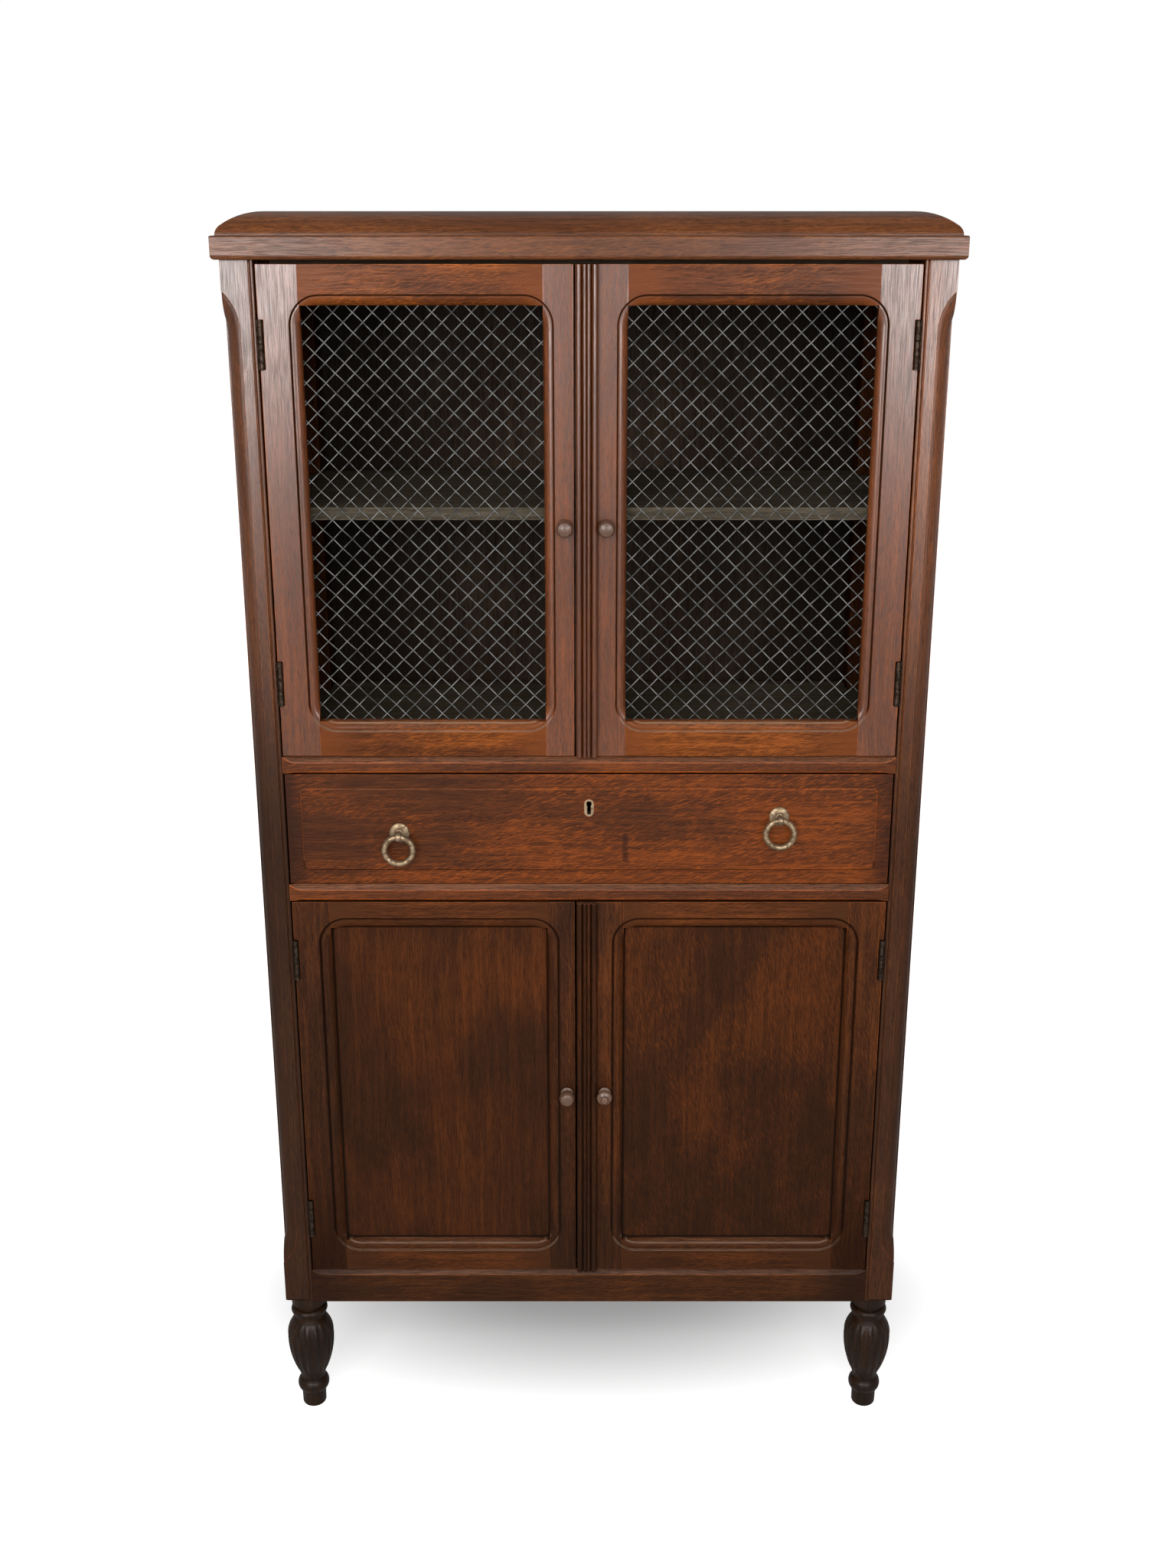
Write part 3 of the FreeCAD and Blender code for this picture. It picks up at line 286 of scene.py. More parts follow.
def highlight_crests(wood, away, bottom, rubbed):
    """Painted highlights, pale lines on both crests below a height: ||away + CREST / 2| - CREST / 2| is the
    distance from the nearer one, with away the distance from the step."""
    for operation, by in (("ADD", CREST / 2), ("ABSOLUTE", 0.0), ("SUBTRACT", CREST / 2), ("ABSOLUTE", 0.0)):
        away = node(wood.tree, "ShaderNodeMath", {"operation": operation, 0: away, 1: by}, 0)
    # painted highlight on the crests
    lay(wood, CREST_HIGHLIGHT, share(wood.tree, (away, *CREST_LINE, CREST_AMOUNT * rubbed, 0.0),
                          (wood.z, bottom + CREST_FADE[0], bottom + CREST_FADE[1], 1.0, 0.0),
                          (wood.line, *CREST_BREAKS, CREST_WEAK, 1.0)))


def shade_in_groove(wood, rubbed, outline, width, face, depth, bottom=None, top=None):
    """Painted shade in a groove of a width along an outline, down to a depth behind the face. Below bottom
    most of it is left out and the crests get painted highlights; above top there is none."""
    away = outline_distance(wood, outline)
    beside = node(wood.tree, "ShaderNodeMath", {"operation": "ABSOLUTE", 0: away}, 0)
    steps = [(beside, GROOVE_SHADE_WIDTH[0] * width, GROOVE_SHADE_WIDTH[1] * width, GROOVE_SHADE_AMOUNT, 0.0),
             (wood.y, face + depth, face + 2 * depth, 1.0, 0.0)]
    if bottom is not None:
        steps.append((wood.z, bottom, bottom + LOW_SHADE_FADE, SHADE_LEFT_LOW, 1.0))
        highlight_crests(wood, away, bottom, rubbed)
    if top is not None:
        steps.append((wood.z, top, top + TOP_FADE, 1.0, 0.0))
    groove_shade = share(wood.tree, *steps)
    # painted shade in the quirk, which also dulls the polish
    lay(wood, PAINTED_SHADE, groove_shade)
    dull(wood, share(wood.tree, (groove_shade, 0.0, NO_POLISH, 1.0, 0.0)))


# %% [markdown]
# ## Darker low down, dark ends and painted shade inside
# The remaining marks are broad. Everything is darker towards the floor, the ends of some boards are darker, a
# rail takes some of the colour of the stile it runs into, and the wood inside the case is painted dark as
# painted shade. Each lays one colour; the darkening near the floor and the painted shade inside also take
# polish away.

# %% Broad marks
LOW_DARK_COLOUR = "#26201c"
END_AMOUNT = 0.75
RAIL_END = (-45 * MM, 20 * MM)       # from the end of a rail: where the stile's colour starts, and is full
RAIL_RAGGED = 50 * MM
BOARD_RAGGED = 60 * MM
SPOT_EDGE = (-1.5 * MM, 3 * MM)
SPOT_AMOUNT = 0.65
INSIDE_SHADE_AMOUNT = 0.75
INSIDE_SHADE_EDGE = 1 * MM


def darken_rail_ends(wood, middle, half, code):
    """Brings in the stile's colour near both ends of a rail of half a length."""
    far = from_middle(wood, middle, RAIL_RAGGED)
    lay(wood, code, share(wood.tree, (far, half + RAIL_END[0], half + RAIL_END[1], 0.0, END_AMOUNT)))


def darken_board_ends(wood, dark, start, full, top=None):
    """Darkens a board from start to full, both from the middle of the cupboard, and only below top."""
    steps = [(from_middle(wood, 0.0, BOARD_RAGGED), start, full, 0.0, END_AMOUNT)]
    if top is not None:
        steps.append((wood.z, 0.5 * top, top, 1.0, 0.0))
    lay(wood, dark, share(wood.tree, *steps))


def shade_the_inside(wood, inside):
    """Paints shade, near black, on the wood nearer than inside to the middle of the cupboard, and takes its
    polish.
    """
    shown = share(wood.tree, (from_middle(wood), inside - INSIDE_SHADE_EDGE, inside + INSIDE_SHADE_EDGE, 0.0, 1.0))
    # painted shade: the inside of the case painted near black
    lay(wood, PAINTED_SHADE, share(wood.tree, (shown, 0.0, 1.0, INSIDE_SHADE_AMOUNT, 0.0)))
    dull(wood, shown)


def dust_near_floor(wood, low, high, left):
    """Leaves a share of the colour, and its square of the polish, below low, and all of them above high."""
    # darker towards the bottom
    lay(wood, LOW_DARK_COLOUR, share(wood.tree, (wood.z, low, high, 1.0 - left, 0.0)))
    dull(wood, share(wood.tree, (wood.z, low, high, left * left, 1.0)))


# %% [markdown]
# ## One oak finish
# The finish is built in the order in which a real one comes about: the grain, the stain, the wax, dust and
# painted shade in every corner, then the other marks. Ambient occlusion measures how closed in a point is,
# which is where a cloth doesn't reach and where shade falls, so the corners get dust and painted shade from
# it.
# The bump is shallow, because wax fills the pores, but it breaks a reflection into streaks along the grain.

# %% Oak
CORNER_REACH = 8 * MM         # how far the dust and painted shade spread from an inner corner
OCCLUSION_RAYS = 4            # few, because a render adds them up over its samples
OPEN_AIR = (0.25, 0.85)       # of ambient occlusion: a closed corner, and an open face
POLISH_EDGE = (0.36, 0.6)     # of the streaks: they take less wax below it
LESS_WAX = 0.8
SHINE_EDGE = (0.3, 0.7)
ROUGHER, SMOOTHER = 0.08, 0.04       # a streak, and the wood between, against the usual roughness
OAK_IOR = 1.5
BUMP_STRENGTH = 0.35
BUMP_HEIGHT = 0.15 * MM


def oak(name, dark, mid, warm, grain, seed, rings=0.5, lines=0.5, pores=0.6, flecks=0.3, patches=0.6,
        rough=0.4, gloss=0.4, dust=0.88, reach=CORNER_REACH, rubbed=0.0, rail_ends=None, spot=None,
        groove=None, painted_shade_inside=None, board_ends=None, floor_dust=None):
    """A stained and waxed oak. mid is the ground, dark the stain in the grain and the dust and painted shade
    in the corners, warm the uneven patches and flecks. Amounts run from 0 to 1. spot is the outline of a dark
    spot; the other marks, painted shade and highlights among them, are the arguments of the functions above."""
    wood = new_finish(name, mid)
    tree = wood.tree
    add_grain(wood, grain, seed)
    stain_grain(wood, dark, warm, rings, lines, pores, flecks, patches, rubbed)
    sky = node(tree, "ShaderNodeAmbientOcclusion", {"samples": OCCLUSION_RAYS, "Distance": reach}, "AO")
    wood.polish = share(tree, (wood.line, *POLISH_EDGE, LESS_WAX * gloss, gloss), (sky, *OPEN_AIR, 0.0, 1.0))
    # dust and painted shade: the dark colour laid in closed corners, by ambient occlusion
    lay(wood, dark, share(tree, (sky, *OPEN_AIR, dust, 0.0)))
    if rail_ends:
        darken_rail_ends(wood, **rail_ends)
    if spot:
        lay(wood, dark, share(tree, (outline_distance(wood, spot), *SPOT_EDGE, SPOT_AMOUNT, 0.0)))
    if groove:
        shade_in_groove(wood, rubbed, **groove)
    if painted_shade_inside:
        shade_the_inside(wood, painted_shade_inside)
    if floor_dust:
        dust_near_floor(wood, *floor_dust)
    if board_ends:
        darken_board_ends(wood, dark, *board_ends)
    shine = share(tree, (wood.line, *SHINE_EDGE, rough + ROUGHER, rough - SMOOTHER))
    bump = node(tree, "ShaderNodeBump",
                {"Strength": BUMP_STRENGTH, "Distance": BUMP_HEIGHT, "Height": wood.line}, "Normal")
    surface = node(tree, "ShaderNodeBsdfPrincipled",
                   {"IOR": OAK_IOR, "Base Color": wood.colour, "Roughness": shine,
                    "Specular IOR Level": wood.polish, "Normal": bump}, "BSDF")
    node(tree, "ShaderNodeOutputMaterial", {"Surface": surface})
    return wood.material


# %% [markdown]
# ## The finishes of this cupboard
# Each board is a different piece of oak and has seen a different life: the frame of the upper doors has the
# most wax, the drawer is the warmest, the lower doors and legs are the darkest, and the boards inside were
# never polished. So each gets its own tones, grain direction and gloss, from the same recipe. Its edges get
# a second finish, one tone lighter, because hands and dusters rub them first.

# %% Recipes
POST_DARKER_LOW = (880 * MM, 1330 * MM, 0.3)
DOOR_DARKER_LOW = (280 * MM, 800 * MM, 0.68)
# dark, mid and warm colour, direction of the grain, seed, and what differs from the usual amounts
RECIPES = {
    "cornice": ("#2a1509", "#714125", "#94572b", "x", 1.0, dict(gloss=0.22, rough=0.28, rings=0.3)),
    "post": ("#291208", "#6f3e20", "#8b502a", "z", 2.0,
             dict(gloss=0.6, rough=0.28, rings=0.3, floor_dust=POST_DARKER_LOW, painted_shade_inside=408.5 * MM)),
    "rear_post": ("#291208", "#6f3e20", "#8b502a", "z", 2.5,
                  dict(gloss=0.3, rough=0.42, rings=0.3, painted_shade_inside=449 * MM)),
    "upper_stile": ("#2a1206", "#733c1a", "#8f4b22", "z", 3.0,
                    dict(gloss=0.65, rough=0.28, rings=0.3, flecks=0.15, rubbed=0.5)),
    "upper_rail": ("#2c1305", "#6c3a1d", "#ac5c21", "x", 4.0,
                   dict(gloss=0.1, rough=0.34, patches=0.9, flecks=0.4, rubbed=0.6)),
    "waist": ("#260e03", "#5f2d0b", "#874312", "x", 5.0, dict(gloss=0.2, patches=0.8, rubbed=0.75)),
    "drawer": ("#260e03", "#5f2f0d", "#8f4511", "x", 6.0,
               dict(gloss=0.15, rough=0.45, patches=0.9, flecks=0.7, board_ends=(398 * MM, 440 * MM))),
    "lower_frame": ("#1c0c05", "#4a270f", "#673512", "z", 7.0,
                    dict(gloss=0.1, rough=0.5, rubbed=0.6, floor_dust=DOOR_DARKER_LOW,
                         board_ends=(330 * MM, 420 * MM, 500 * MM))),
    "lower_rail": ("#241005", "#603213", "#864619", "x", 8.0,
                   dict(gloss=0.1, rough=0.5, rubbed=0.55, floor_dust=DOOR_DARKER_LOW)),
    "panel": ("#1c0c05", "#44230d", "#6a3511", "z", 9.0,
              dict(gloss=0.08, rough=0.5, patches=0.7, rings=0.35, lines=0.4, floor_dust=DOOR_DARKER_LOW)),
    "base": ("#1e0d04", "#49270d", "#673713", "x", 10.0,
             dict(gloss=0.12, rough=0.5, patches=0.8, rubbed=0.5, board_ends=(340 * MM, 430 * MM))),
    "leg": ("#0e0703", "#2f1a09", "#402510", "z", 11.0,
            dict(gloss=0.22, rough=0.4, flecks=0.1, dust=1.0, reach=6 * MM)),
    "inner_x": ("#2a2118", "#54463a", "#6f6052", "x", 12.0, dict(gloss=0.1, rough=0.7)),
    "shelf": ("#2f281e", "#5e5446", "#6f6656", "x", 18.0, dict(gloss=0.1, rough=0.7, dust=0.5)),
    "inner_y": ("#1c1610", "#453a2e", "#5d5242", "y", 13.0, dict(gloss=0.1, rough=0.7)),
    # back boards: dark, and darker towards the sides, as painted shade inside the case
    "inner_z": ("#0d0805", "#3a2b20", "#554435", "z", 14.0,
                dict(gloss=0.1, rough=0.7, rings=0.3, pores=0.3, flecks=0.0, board_ends=(60 * MM, 380 * MM))),
    "side_z": ("#25130b", "#54301f", "#6d4229", "z", 15.0, dict(gloss=0.3, rough=0.42, painted_shade_inside=433 * MM)),
    "side_y": ("#25130b", "#54301f", "#6d4229", "y", 16.0, dict(gloss=0.3, rough=0.42, painted_shade_inside=433 * MM)),
    "knob": ("#38251a", "#715240", "#8b6953", "y", 17.0, dict(gloss=0.5, rough=0.34, rings=0.2, dust=0.9)),
}
print("recipes:", len(RECIPES))

# %% A finish and its worn edge
EDGE_LIGHT = 1.42
EDGE_AMOUNTS = {"rings": 0.2, "dust": 0.5}
OWN_FINISH = ("post", "upper_rail", "lower_frame", "lower_rail", "panel", "drawer")   # one per piece, below


def finish_pair(name, recipe, tone=1.0, **changes):
    """The finish of a piece and that of its worn edges, from a recipe with changed amounts. tone makes this
    board lighter or darker than its neighbours."""
    dark, mid, warm, grain, seed, amounts = RECIPES[recipe]
    mid, warm = lighter(mid, tone), lighter(warm, tone)
    amounts = {**amounts, **changes}
    return (oak(name + "_oak", dark, mid, warm, grain, seed, **amounts),
            oak(name + "_worn_edge", dark, lighter(mid, EDGE_LIGHT), lighter(warm, EDGE_LIGHT), grain, seed,
                **{**amounts, **EDGE_AMOUNTS}))


OAK = {recipe: finish_pair(recipe, recipe) for recipe in RECIPES if recipe not in OWN_FINISH}
print("shared finishes:", ", ".join(OAK))

# %% [markdown]
# ## Metal
# The pulls are cast brass that has gone pale, with brown left in its hollows. The hinges and the lock are
# forged steel, darkened with age, and the wire is drawn steel, galvanised and now dull. All three are a
# bright and a dull tone in clouds of tarnish, with fine pits; a plain metal colour would look new.

# %% Metal finishes
CLOUD_EDGE = (0.40, 0.62)     # of the clouds: bright below it, tarnished above
CLOUD_SHINE = (0.35, 0.65)
BRIGHTER, DULLER = 0.08, 0.12        # bright and tarnished metal, against the usual roughness
HOLLOW_DIRT = "#1d140d"
HOLLOW_REACH = 5 * MM
HOLLOW_EDGE = (0.3, 0.9)      # of ambient occlusion
HOLLOW_AMOUNT = 0.8
PIT_DEPTH = 0.08 * MM
PIT_STRENGTH = 0.6
PITS_TO_CLOUD = 8             # pits to the width of a cloud


def old_metal(name, bright, tarnished, cloud_size, rough, metallic=1.0):
    """A metal whose colour runs from bright to tarnished in clouds, with dirt in its hollows."""
    metal = new_finish(name, bright)
    tree = metal.tree
    noises = ((cloud_size, 4.0, 0.65), (cloud_size / PITS_TO_CLOUD, 3.0, 0.6))
    cloud, grit = (node(tree, "ShaderNodeTexNoise",
                        {"Scale": 1 / size, "Detail": detail, "Roughness": roughness,
                         "Vector": metal.coords}, "Fac") for size, detail, roughness in noises)
    lay(metal, tarnished, share(tree, (cloud, *CLOUD_EDGE, 0.0, 1.0)))
    sky = node(tree, "ShaderNodeAmbientOcclusion",
               {"samples": OCCLUSION_RAYS, "Distance": HOLLOW_REACH}, "AO")
    lay(metal, HOLLOW_DIRT, share(tree, (sky, *HOLLOW_EDGE, HOLLOW_AMOUNT, 0.0)))
    shine = share(tree, (cloud, *CLOUD_SHINE, rough - BRIGHTER, rough + DULLER))
    bump = node(tree, "ShaderNodeBump",
                {"Strength": PIT_STRENGTH, "Distance": PIT_DEPTH, "Height": grit}, "Normal")
    surface = node(tree, "ShaderNodeBsdfPrincipled",
                   {"Metallic": metallic, "Base Color": metal.colour, "Roughness": shine, "Normal": bump},
                   "BSDF")
    node(tree, "ShaderNodeOutputMaterial", {"Surface": surface})
    return metal.material


BRASS = old_metal("aged_brass", "#a89073", "#6b5842", 6 * MM, 0.48, metallic=0.75)
STEEL = old_metal("darkened_steel", "#4a3d33", "#2a211b", 5 * MM, 0.55)
WIRE = old_metal("galvanised_wire", "#797977", "#51514f", 14 * MM, 0.5)
print("metals:", BRASS.name, STEEL.name, WIRE.name)

# %% [markdown]
# ## Softening the edges
# A CAD solid has knife edges, and real furniture has none: each arris was taken off with a plane and then
# worn. A Bevel modifier alone finds no edges to round, because the CAD model's triangles are loose. So each
# piece is copied, its triangles are joined, and edges that are truly sharp are cut back by a small round.
# The new faces get the worn finish. The copy replaces the CAD piece in the render, and the CAD piece stays
# for the physics.

# %% Copies with soft edges
SHARP = math.radians(28)
WELD = 0.002 * MM             # corners nearer than this are one
WOOD_EASE = 0.7 * MM
METAL_EASE = 0.25 * MM
EASE_STEPS = 2                # faces across a round
EASE_SHAPE = 0.6              # a little fuller than a quarter circle, as a worn edge is


def softened(name, body, finish, edge, ease=WOOD_EASE):
    """A copy of a CAD node whose edges sharper than SHARP are rounded over by ease."""
    mesh = bpy.data.meshes.new(name + "_dressed")
    shape = bmesh.new()
    shape.from_mesh(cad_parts[name].data)
    bmesh.ops.remove_doubles(shape, verts=shape.verts, dist=WELD)
    if ease:
        edges = [e for e in shape.edges if e.is_manifold and e.calc_face_angle(0) > SHARP]
        bmesh.ops.bevel(shape, geom=edges, offset=ease, segments=EASE_STEPS, profile=EASE_SHAPE,
                        affect="EDGES", clamp_overlap=False, material=1)
    for face in shape.faces:
        face.smooth = True
    for seam in shape.edges:
        seam.smooth = seam.is_manifold and seam.calc_face_angle(0) < SHARP
    shape.to_mesh(mesh)
    shape.free()
    mesh.materials.append(finish)
    mesh.materials.append(edge)
    piece = bpy.data.objects.new(name + "_dressed", mesh)
    bpy.context.scene.collection.objects.link(piece)
    even = piece.modifiers.new("even_shading", "WEIGHTED_NORMAL")
    even.keep_sharp = True
    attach(piece, body)
    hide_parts(name)
    return piece


# %% [markdown]
# ## The case
# The case is framed like a small building: posts, rails between them, thin panels in the rails, and boards
# inside. Which recipe a piece gets follows from how its grain runs, along the piece, and from whether it was
# on show. The legs and the cornice are already round in the CAD model, so only their sharp lines stay.

# %% Case pieces
CASE_OAK = {
    "cornice_top": "cornice", "cornice_band": "cornice", "front_left_post": "post",
    "front_right_post": "post", "rear_posts": "rear_post", "waist_rail": "waist", "drawer_rail": "waist",
    "base_rail": "base",
    "header_rail": "inner_x", "front_legs": "leg", "rear_legs": "leg", "side_panels": "side_z",
    "side_rails": "side_y", "back_boards": "inner_z", "back_rails": "inner_x", "bottom_board": "inner_x",
    "upper_floor": "shelf", "upper_shelf": "shelf", "lower_shelf": "inner_x", "shelf_battens": "inner_y",
    "drawer_runners": "inner_y",
}
ROUNDED = ("front_legs", "rear_legs", "cornice_band", "cornice_top")
# painted light and shade: the right post is painted lighter and the left one darker, as light falls on them
POST_LIGHT_TONES = {"front_left_post": 0.9, "front_right_post": 1.1}
for name, recipe in CASE_OAK.items():
    pair = finish_pair(name, recipe, POST_LIGHT_TONES[name]) if name in POST_LIGHT_TONES else OAK[recipe]
    softened(name, "case", *pair, 0.0 if name in ROUNDED else WOOD_EASE)
print("case pieces:", len(CASE_OAK))

# %% [markdown]
# ## The doors
# Each door is a frame of two stiles and two rails with a moulding round its opening, and a panel or wire in
# it. The painted shade has to lie exactly in the quirk of the moulding, so its outline is measured on the CAD
# pieces and not typed in: it stands a fixed width outside the clear opening. The right-hand doors also carry
# the astragal, the reeded strip that covers the gap between the two.

# %% The opening of a door
def sight_edges(door):
    """The clear opening of a door frame, as (low x, high x, low z, high z), and the y of its front face. The
    opening ends where the stiles end, and at the innermost points of the two rails."""
    boxes = sorted([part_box(door + "_hinge_stile"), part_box(door + "_meeting_stile")], key=lambda b: b[0][0])
    left, right = boxes[0][1][0], boxes[1][0][0]
    heights = np.array([vertex.co.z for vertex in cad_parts[door + "_rails"].data.vertices])
    middle = (heights.min() + heights.max()) / 2
    low, high = heights[heights < middle].max(), heights[heights > middle].min()
    return (left, right, float(low), float(high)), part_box(door + "_rails")[0][1]


# %% Door pieces
DOORS = ("upper_left_door", "upper_right_door", "lower_left_door", "lower_right_door")
# recipes of stiles and rails, width of the moulding, and width of its quirk
FRAMES = {"upper": ("upper_stile", "upper_rail", 12.5 * MM, 1.3 * MM),
          "lower": ("lower_frame", "lower_rail", 15 * MM, 2.0 * MM)}
MOULDING_CORNER = 37 * MM      # radius of the moulding at the corners of an opening
MOULDING_DEPTH = 5 * MM
HIGHLIT_BELOW = 5 * MM          # above the opening's lower edge; below it most painted shade is left out and the crests get painted highlights
STILE_TONES = {"lower_right_door": 1.12}
PANEL_FLECKS = {"lower_left_door": 0.12, "lower_right_door": 0.5}
PANEL_EDGE = dict(width=3 * MM, depth=30 * MM)      # the painted shade where a panel meets its frame
PANEL_CORNER = 7 * MM
ASTRAGAL_TONE = 0.84
ASTRAGAL_EASE = 0.4 * MM

for door in DOORS:
    stile, rail, moulding, quirk = FRAMES[door.split("_")[0]]
    sight, face = sight_edges(door)
    outline = (sight[0] - moulding, sight[1] + moulding, sight[2] - moulding, sight[3] + moulding,
               MOULDING_CORNER)
    # painted shade in the quirk; below the opening, painted highlights on the crests
    groove = dict(outline=outline, width=quirk, face=face, depth=MOULDING_DEPTH,
                  bottom=sight[2] + HIGHLIT_BELOW)
    stile_pair = finish_pair(door + "_stile", stile, STILE_TONES.get(door, 1.0), groove=groove)
    rail_pair = finish_pair(door + "_rail", rail, groove=groove, rail_ends=dict(
        middle=(sight[0] + sight[1]) / 2, half=(sight[1] - sight[0]) / 2, code=RECIPES[stile][1]))
    softened(door + "_hinge_stile", door, *stile_pair)
    softened(door + "_meeting_stile", door, *stile_pair)
    softened(door + "_rails", door, *rail_pair)
    softened(door + "_knob", door, *OAK["knob"], 0.0)
    softened(door + "_hinge_leaves", door, STEEL, STEEL, METAL_EASE)
    if door in PANEL_FLECKS:
        softened(door + "_panel", door, *finish_pair(
            door + "_panel", "panel", flecks=PANEL_FLECKS[door],
            groove=dict(outline=(*sight, PANEL_CORNER), face=face, **PANEL_EDGE)))
    else:
        softened(door + "_mesh_beads", door, *OAK[stile])
    if "right" in door:
        softened(door + "_astragal", door, *finish_pair(door + "_astragal", stile, ASTRAGAL_TONE, dust=1.0),
                 ASTRAGAL_EASE)
softened("post_hinge_leaves", "case", STEEL, STEEL, METAL_EASE)
softened("hinge_pins", "case", STEEL, STEEL, METAL_EASE)
print("doors:", len(DOORS))

# %% [markdown]
# ## The drawer
# The front is one board whose middle stands 2.5 mm proud of a narrow border. Painted shade lies in the step
# along the bottom, where the step looks down, and a short dark spot below the keyhole is where something
# once burnt or stained it. The box behind is bare oak, as in any drawer.

# %% Drawer pieces
FIELD_BORDER = 20 * MM
FIELD_CORNER = 6 * MM
FIELD_GROOVE = dict(width=1.0 * MM, depth=4 * MM)
SPOT = (46 * MM, 52 * MM, 897 * MM, 935 * MM, 2 * MM)
front_low, front_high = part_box("drawer_front")
field = (front_low[0] + FIELD_BORDER, front_high[0] - FIELD_BORDER, front_low[2] + FIELD_BORDER,
         front_high[2] - FIELD_BORDER, FIELD_CORNER)
# painted shade under the field, and painted highlights on faces that look up
softened("drawer_front", "drawer", *finish_pair(
    "drawer_front", "drawer", rubbed=0.9, spot=SPOT,
    groove=dict(outline=field, face=front_low[1], top=field[2] + 10 * MM, **FIELD_GROOVE)))
softened("drawer_sides", "drawer", *OAK["inner_y"])
softened("drawer_back", "drawer", *OAK["inner_x"])
softened("drawer_bottom", "drawer", *OAK["inner_x"])
softened("drawer_lock", "drawer", STEEL, STEEL, METAL_EASE)
softened("keyhole_liner", "drawer", BRASS, BRASS, METAL_EASE)
softened("pull_roses", "drawer", BRASS, BRASS, METAL_EASE)
softened("left_pull_ring", "left_pull", BRASS, BRASS, 0.0)
softened("right_pull_ring", "right_pull", BRASS, BRASS, 0.0)

# %% [markdown]
# ## Weaving the wire
# The upper doors hold woven wire set on the diagonal: each wire passes over one crossing wire and under the
# next, and is crimped to fit. A texture would look flat from the side, so every wire is a real tube. Wires
# that rise to the right are numbered n and lie on x - z = n * pitch; the others are numbered m and lie on
# x + z = m * pitch. Where n + m is even the rising wire is in front. A cosine that swings once over two
# crossings gives exactly that, for both families.

# %% One wire
PITCH = 24.5 * MM
WIRE_RADIUS = 0.9 * MM
SAMPLES = 5                   # along a wire, from one crossing to the next
SIDES = 6


def crimped_wire(number, rising, half_width, half_height, middle):
    """A tube along one diagonal wire. Its centre is at x = number * pitch + z if it rises (minus z if it
    falls), and y = middle + or - radius * cos(pi * (crossing + number)), where crossing counts the wires
    that it has crossed. Rings of SIDES points stand round the centre line."""
    way = 1.0 if rising else -1.0
    offset = number * PITCH
    low = max(-half_height, (-half_width - way * offset) if rising else (offset - half_width))
    high = min(half_height, (half_width - way * offset) if rising else (offset + half_width))
    if high - low < 2 * WIRE_RADIUS:
        return None
    count = max(2, int((high - low) / (PITCH / 2) * SAMPLES) + 1)
    z = np.linspace(low, high, count)
    x = offset + way * z
    crossing = (x + way * z) / PITCH
    y = -way * WIRE_RADIUS * np.cos(math.pi * (crossing + number))
    centre = middle + np.stack([x, y, z], 1)
    angle = np.linspace(0, 2 * math.pi, SIDES, endpoint=False)
    across = np.array([math.sqrt(0.5), 0.0, -way * math.sqrt(0.5)])
    out = np.array([0.0, 1.0, 0.0])
    ring = np.cos(angle)[:, None] * across + way * np.sin(angle)[:, None] * out
    points = centre[:, None, :] + WIRE_RADIUS * ring[None, :, :]
    here = np.arange(count - 1)[:, None] * SIDES + np.arange(SIDES)
    after = np.arange(count - 1)[:, None] * SIDES + (np.arange(SIDES) + 1) % SIDES
    quads = np.stack([here, after, after + SIDES, here + SIDES], 2).reshape(-1, 4)
    return points.reshape(-1, 3), quads, count


# %% The wire of a door
def woven_wire(door):
    """All the wires of one door, in the space of its CAD mesh."""
    low, high = (np.array(corner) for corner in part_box(door + "_wire_mesh"))
    half = (high - low) / 2 - WIRE_RADIUS
    middle = (low + high) / 2
    reach = int((half[0] + half[2]) / PITCH) + 1
    verts, faces, total = [], [], 0
    for rising in (True, False):
        for number in range(-reach, reach + 1):
            wire = crimped_wire(number, rising, half[0], half[2], middle)
            if wire is None:
                continue
            points, quads, count = wire
            verts.append(points)
            faces += (quads + total).tolist()
            first = list(range(total, total + SIDES))
            last = list(range(total + (count - 1) * SIDES, total + count * SIDES))
            faces += [first[::-1], last]
            total += len(points)
    mesh = bpy.data.meshes.new(door + "_woven_wire")
    mesh.from_pydata(np.concatenate(verts).tolist(), [], faces)
    mesh.polygons.foreach_set("use_smooth", np.ones(len(mesh.polygons), bool))
    mesh.materials.append(WIRE)
    piece = bpy.data.objects.new(door + "_woven_wire", mesh)
    bpy.context.scene.collection.objects.link(piece)
    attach(piece, door)
    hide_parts(door + "_wire_mesh")
    return piece


for door in DOORS[:2]:
    print(door, "wire faces:", len(woven_wire(door).data.polygons))

# %% [markdown]
# ## The floor
# The cupboard stands on a plain pale floor that fades to white round it. Light alone would leave a grey
# floor with an edge, so the floor also glows, as painted light, by an amount that grows outwards in an oval:
# the dim oval under the cupboard is a painted shadow. Only the camera sees that glow; it doesn't light the
# cupboard.

# %% Floor
FLOOR = 14.0                  # half its size
FLOOR_SHADOW_GLOW = 0.12              # the glow in the painted shadow under the cupboard; it grows to 1 outwards
FLOOR_REACH = (0.92, 0.47)    # half width and half depth of the painted shadow
FLOOR_SHADOW_Y = 0.13            # its middle lies behind that of the cupboard
FLOOR_SHADOW_EDGE = (0.1, 1.0)   # of the way from its middle to its reach
floor_mesh = bpy.data.meshes.new("studio_floor")
floor_mesh.from_pydata([(-FLOOR, -FLOOR, 0), (FLOOR, -FLOOR, 0), (FLOOR, FLOOR, 0), (-FLOOR, FLOOR, 0)],
                       [], [(0, 1, 2, 3)])
floor = bpy.data.objects.new("studio_floor", floor_mesh)
bpy.context.scene.collection.objects.link(floor)
pale = new_finish("pale_floor", "#d0d0d0")
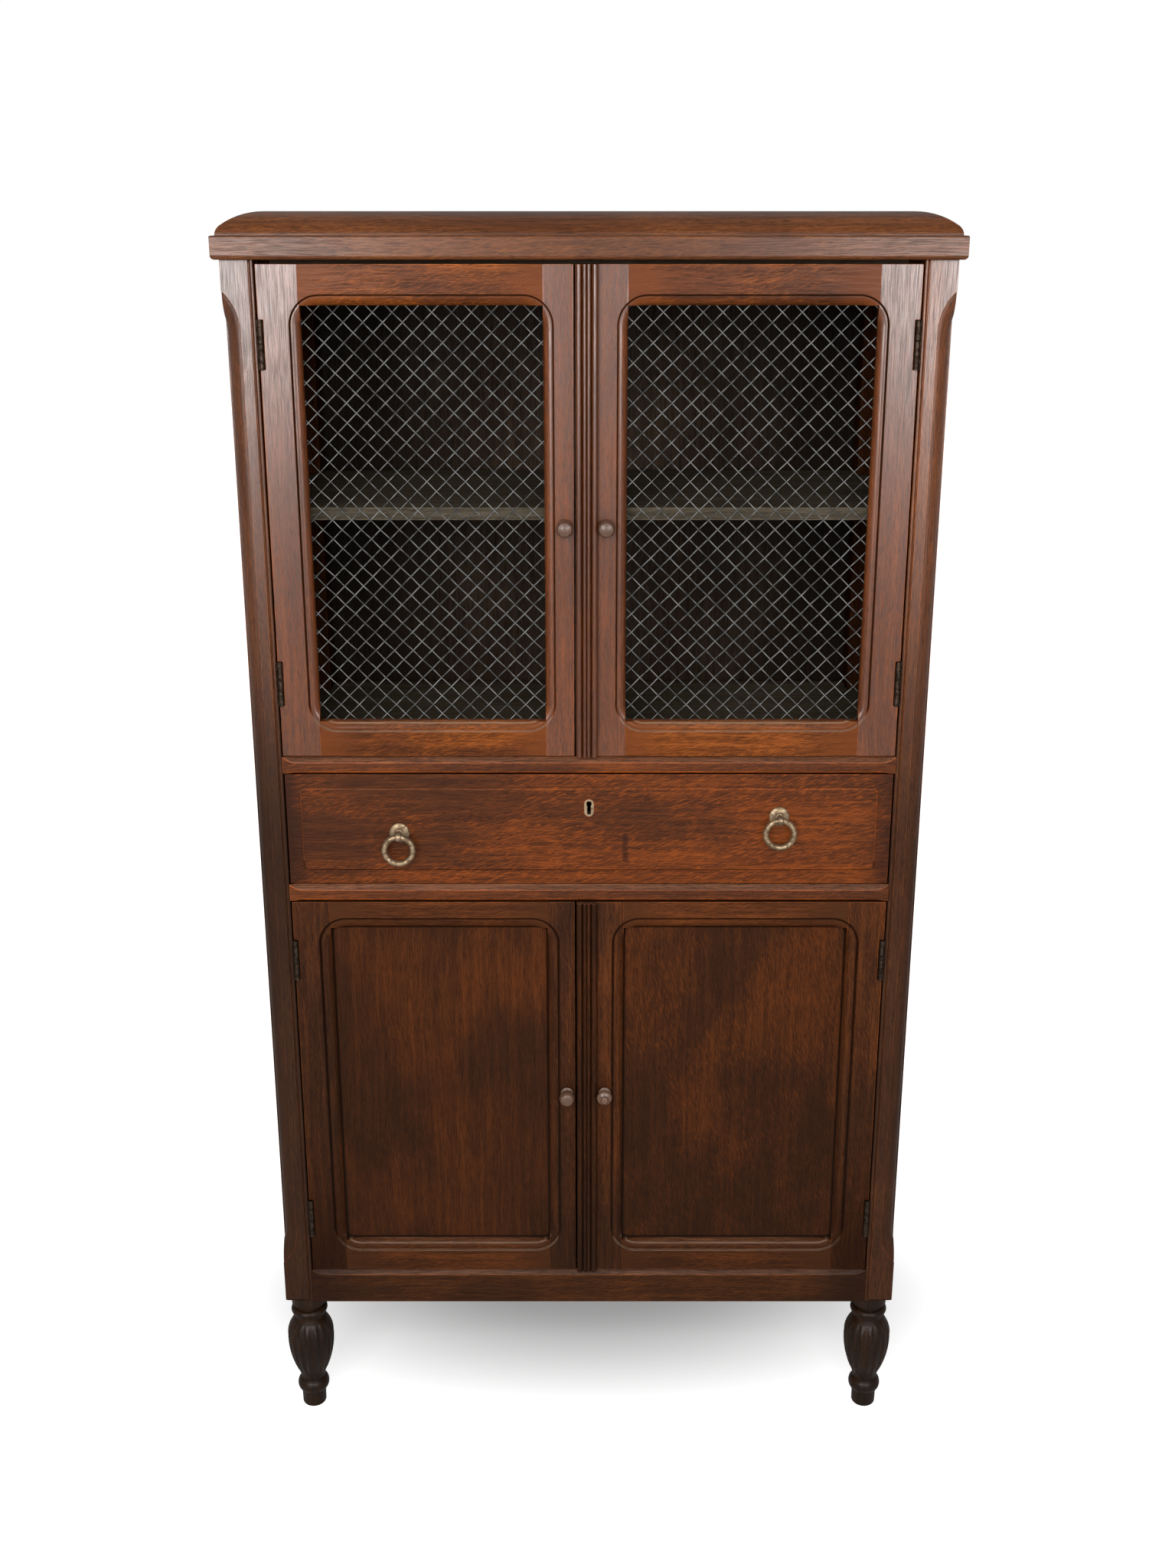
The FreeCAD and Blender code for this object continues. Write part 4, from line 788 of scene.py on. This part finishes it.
oval = node(pale.tree, "ShaderNodeMapping",
            {"Location": (0.0, -FLOOR_SHADOW_Y / FLOOR_REACH[1], 0.0),
             "Scale": (1 / FLOOR_REACH[0], 1 / FLOOR_REACH[1], 0.0), "Vector": pale.coords}, "Vector")
away = node(pale.tree, "ShaderNodeVectorMath", {"operation": "LENGTH", 0: oval}, "Value")
# painted light and painted shadow: the glow is dim in an oval under the cupboard and full away from it
glow_with_painted_shadow = share(pale.tree, (away, *FLOOR_SHADOW_EDGE, FLOOR_SHADOW_GLOW, 1.0))
seen = node(pale.tree, "ShaderNodeLightPath", {}, "Is Camera Ray")
glow_seen = node(pale.tree, "ShaderNodeMath", {"operation": "MULTIPLY", 0: glow_with_painted_shadow, 1: seen}, 0)
pale_surface = node(pale.tree, "ShaderNodeBsdfPrincipled",
                    {"Base Color": pale.colour, "Roughness": 0.9, "Specular IOR Level": 0.1,
                     "Emission Color": linear("#ffffff"), "Emission Strength": glow_seen}, "BSDF")
node(pale.tree, "ShaderNodeOutputMaterial", {"Surface": pale_surface})
floor_mesh.materials.append(pale.material)
print("floor:", 2 * FLOOR, "m wide")

# %% [markdown]
# ## Light
# A broad light from the front and a white sky do the lighting. Two soft windows behind the camera, to the
# left and right, are only there to be mirrored: the waxed stiles of the upper doors and the posts catch
# them, and the drawer and lower doors, seen at a steeper angle, don't. That puts the sheen where wax would.

# %% Lamps
# place, what it points at, width and height, power, and whether it is only mirrored. The others only light.
LAMPS = {
    "front": ((-0.35, -3.2, 2.3), (0.0, -0.2, 0.9), (2.6, 1.6), 95, False),
    "window_left": ((-1.5, -4.2, 1.85), (-0.5, -0.2, 1.6), (1.3, 1.3), 115, True),
    "window_right": ((1.5, -4.2, 1.85), (0.5, -0.2, 1.6), (1.3, 1.3), 100, True),
}
for name, (place, target, size, power, mirrored_only) in LAMPS.items():
    lamp_data = bpy.data.lights.new(name, "AREA")
    lamp_data.shape = "RECTANGLE"
    lamp_data.size, lamp_data.size_y = size
    lamp_data.energy = power
    lamp = bpy.data.objects.new(name, lamp_data)
    bpy.context.scene.collection.objects.link(lamp)
    lamp.location = place
    lamp.rotation_euler = (Vector(target) - Vector(place)).to_track_quat("-Z", "Y").to_euler()
    lamp.visible_diffuse = not mirrored_only
    lamp.visible_glossy = mirrored_only
print("lamps:", ", ".join(LAMPS))

# %% Sky
SKY_LIGHT = 0.45
SKY_MIRRORED = 0.3            # weaker in reflections, so that the windows stand out; white to the camera
world = bpy.data.worlds.new("soft_white")
bpy.context.scene.world = world
world.use_nodes = True
world.node_tree.nodes.clear()
rays = node(world.node_tree, "ShaderNodeLightPath", {})
strength = share(world.node_tree, (rays.outputs["Is Glossy Ray"], 0.0, 1.0, SKY_LIGHT, SKY_MIRRORED))
strength = node(world.node_tree, "ShaderNodeMath",
                {"operation": "MAXIMUM", 0: strength, 1: rays.outputs["Is Camera Ray"]}, 0)
sky = node(world.node_tree, "ShaderNodeBackground", {"Color": linear("#ffffff"), "Strength": strength},
           "Background")
node(world.node_tree, "ShaderNodeOutputWorld", {"Surface": sky})
print("sky:", SKY_LIGHT)

# %% [markdown]
# ## Camera
# It stands a little over two metres in front of the doors, at the height of the cornice, and looks down by
# about 18 degrees, which is why the sides run together towards the feet.

# %% Camera
CAMERA_PLACE = (-0.002, -2.376, 1.7347)
CAMERA_TILT = 18.4            # degrees down
CAMERA_LENS = 39.55
camera_data = bpy.data.cameras.new("camera")
camera_data.lens = CAMERA_LENS
camera_data.sensor_width = 36
camera = bpy.data.objects.new("camera", camera_data)
bpy.context.scene.collection.objects.link(camera)
camera.location = CAMERA_PLACE
camera.rotation_euler = (math.radians(90 - CAMERA_TILT), 0, 0)
bpy.context.scene.camera = camera
bpy.context.scene.view_settings.view_transform = "Standard"
print("camera:", CAMERA_PLACE)
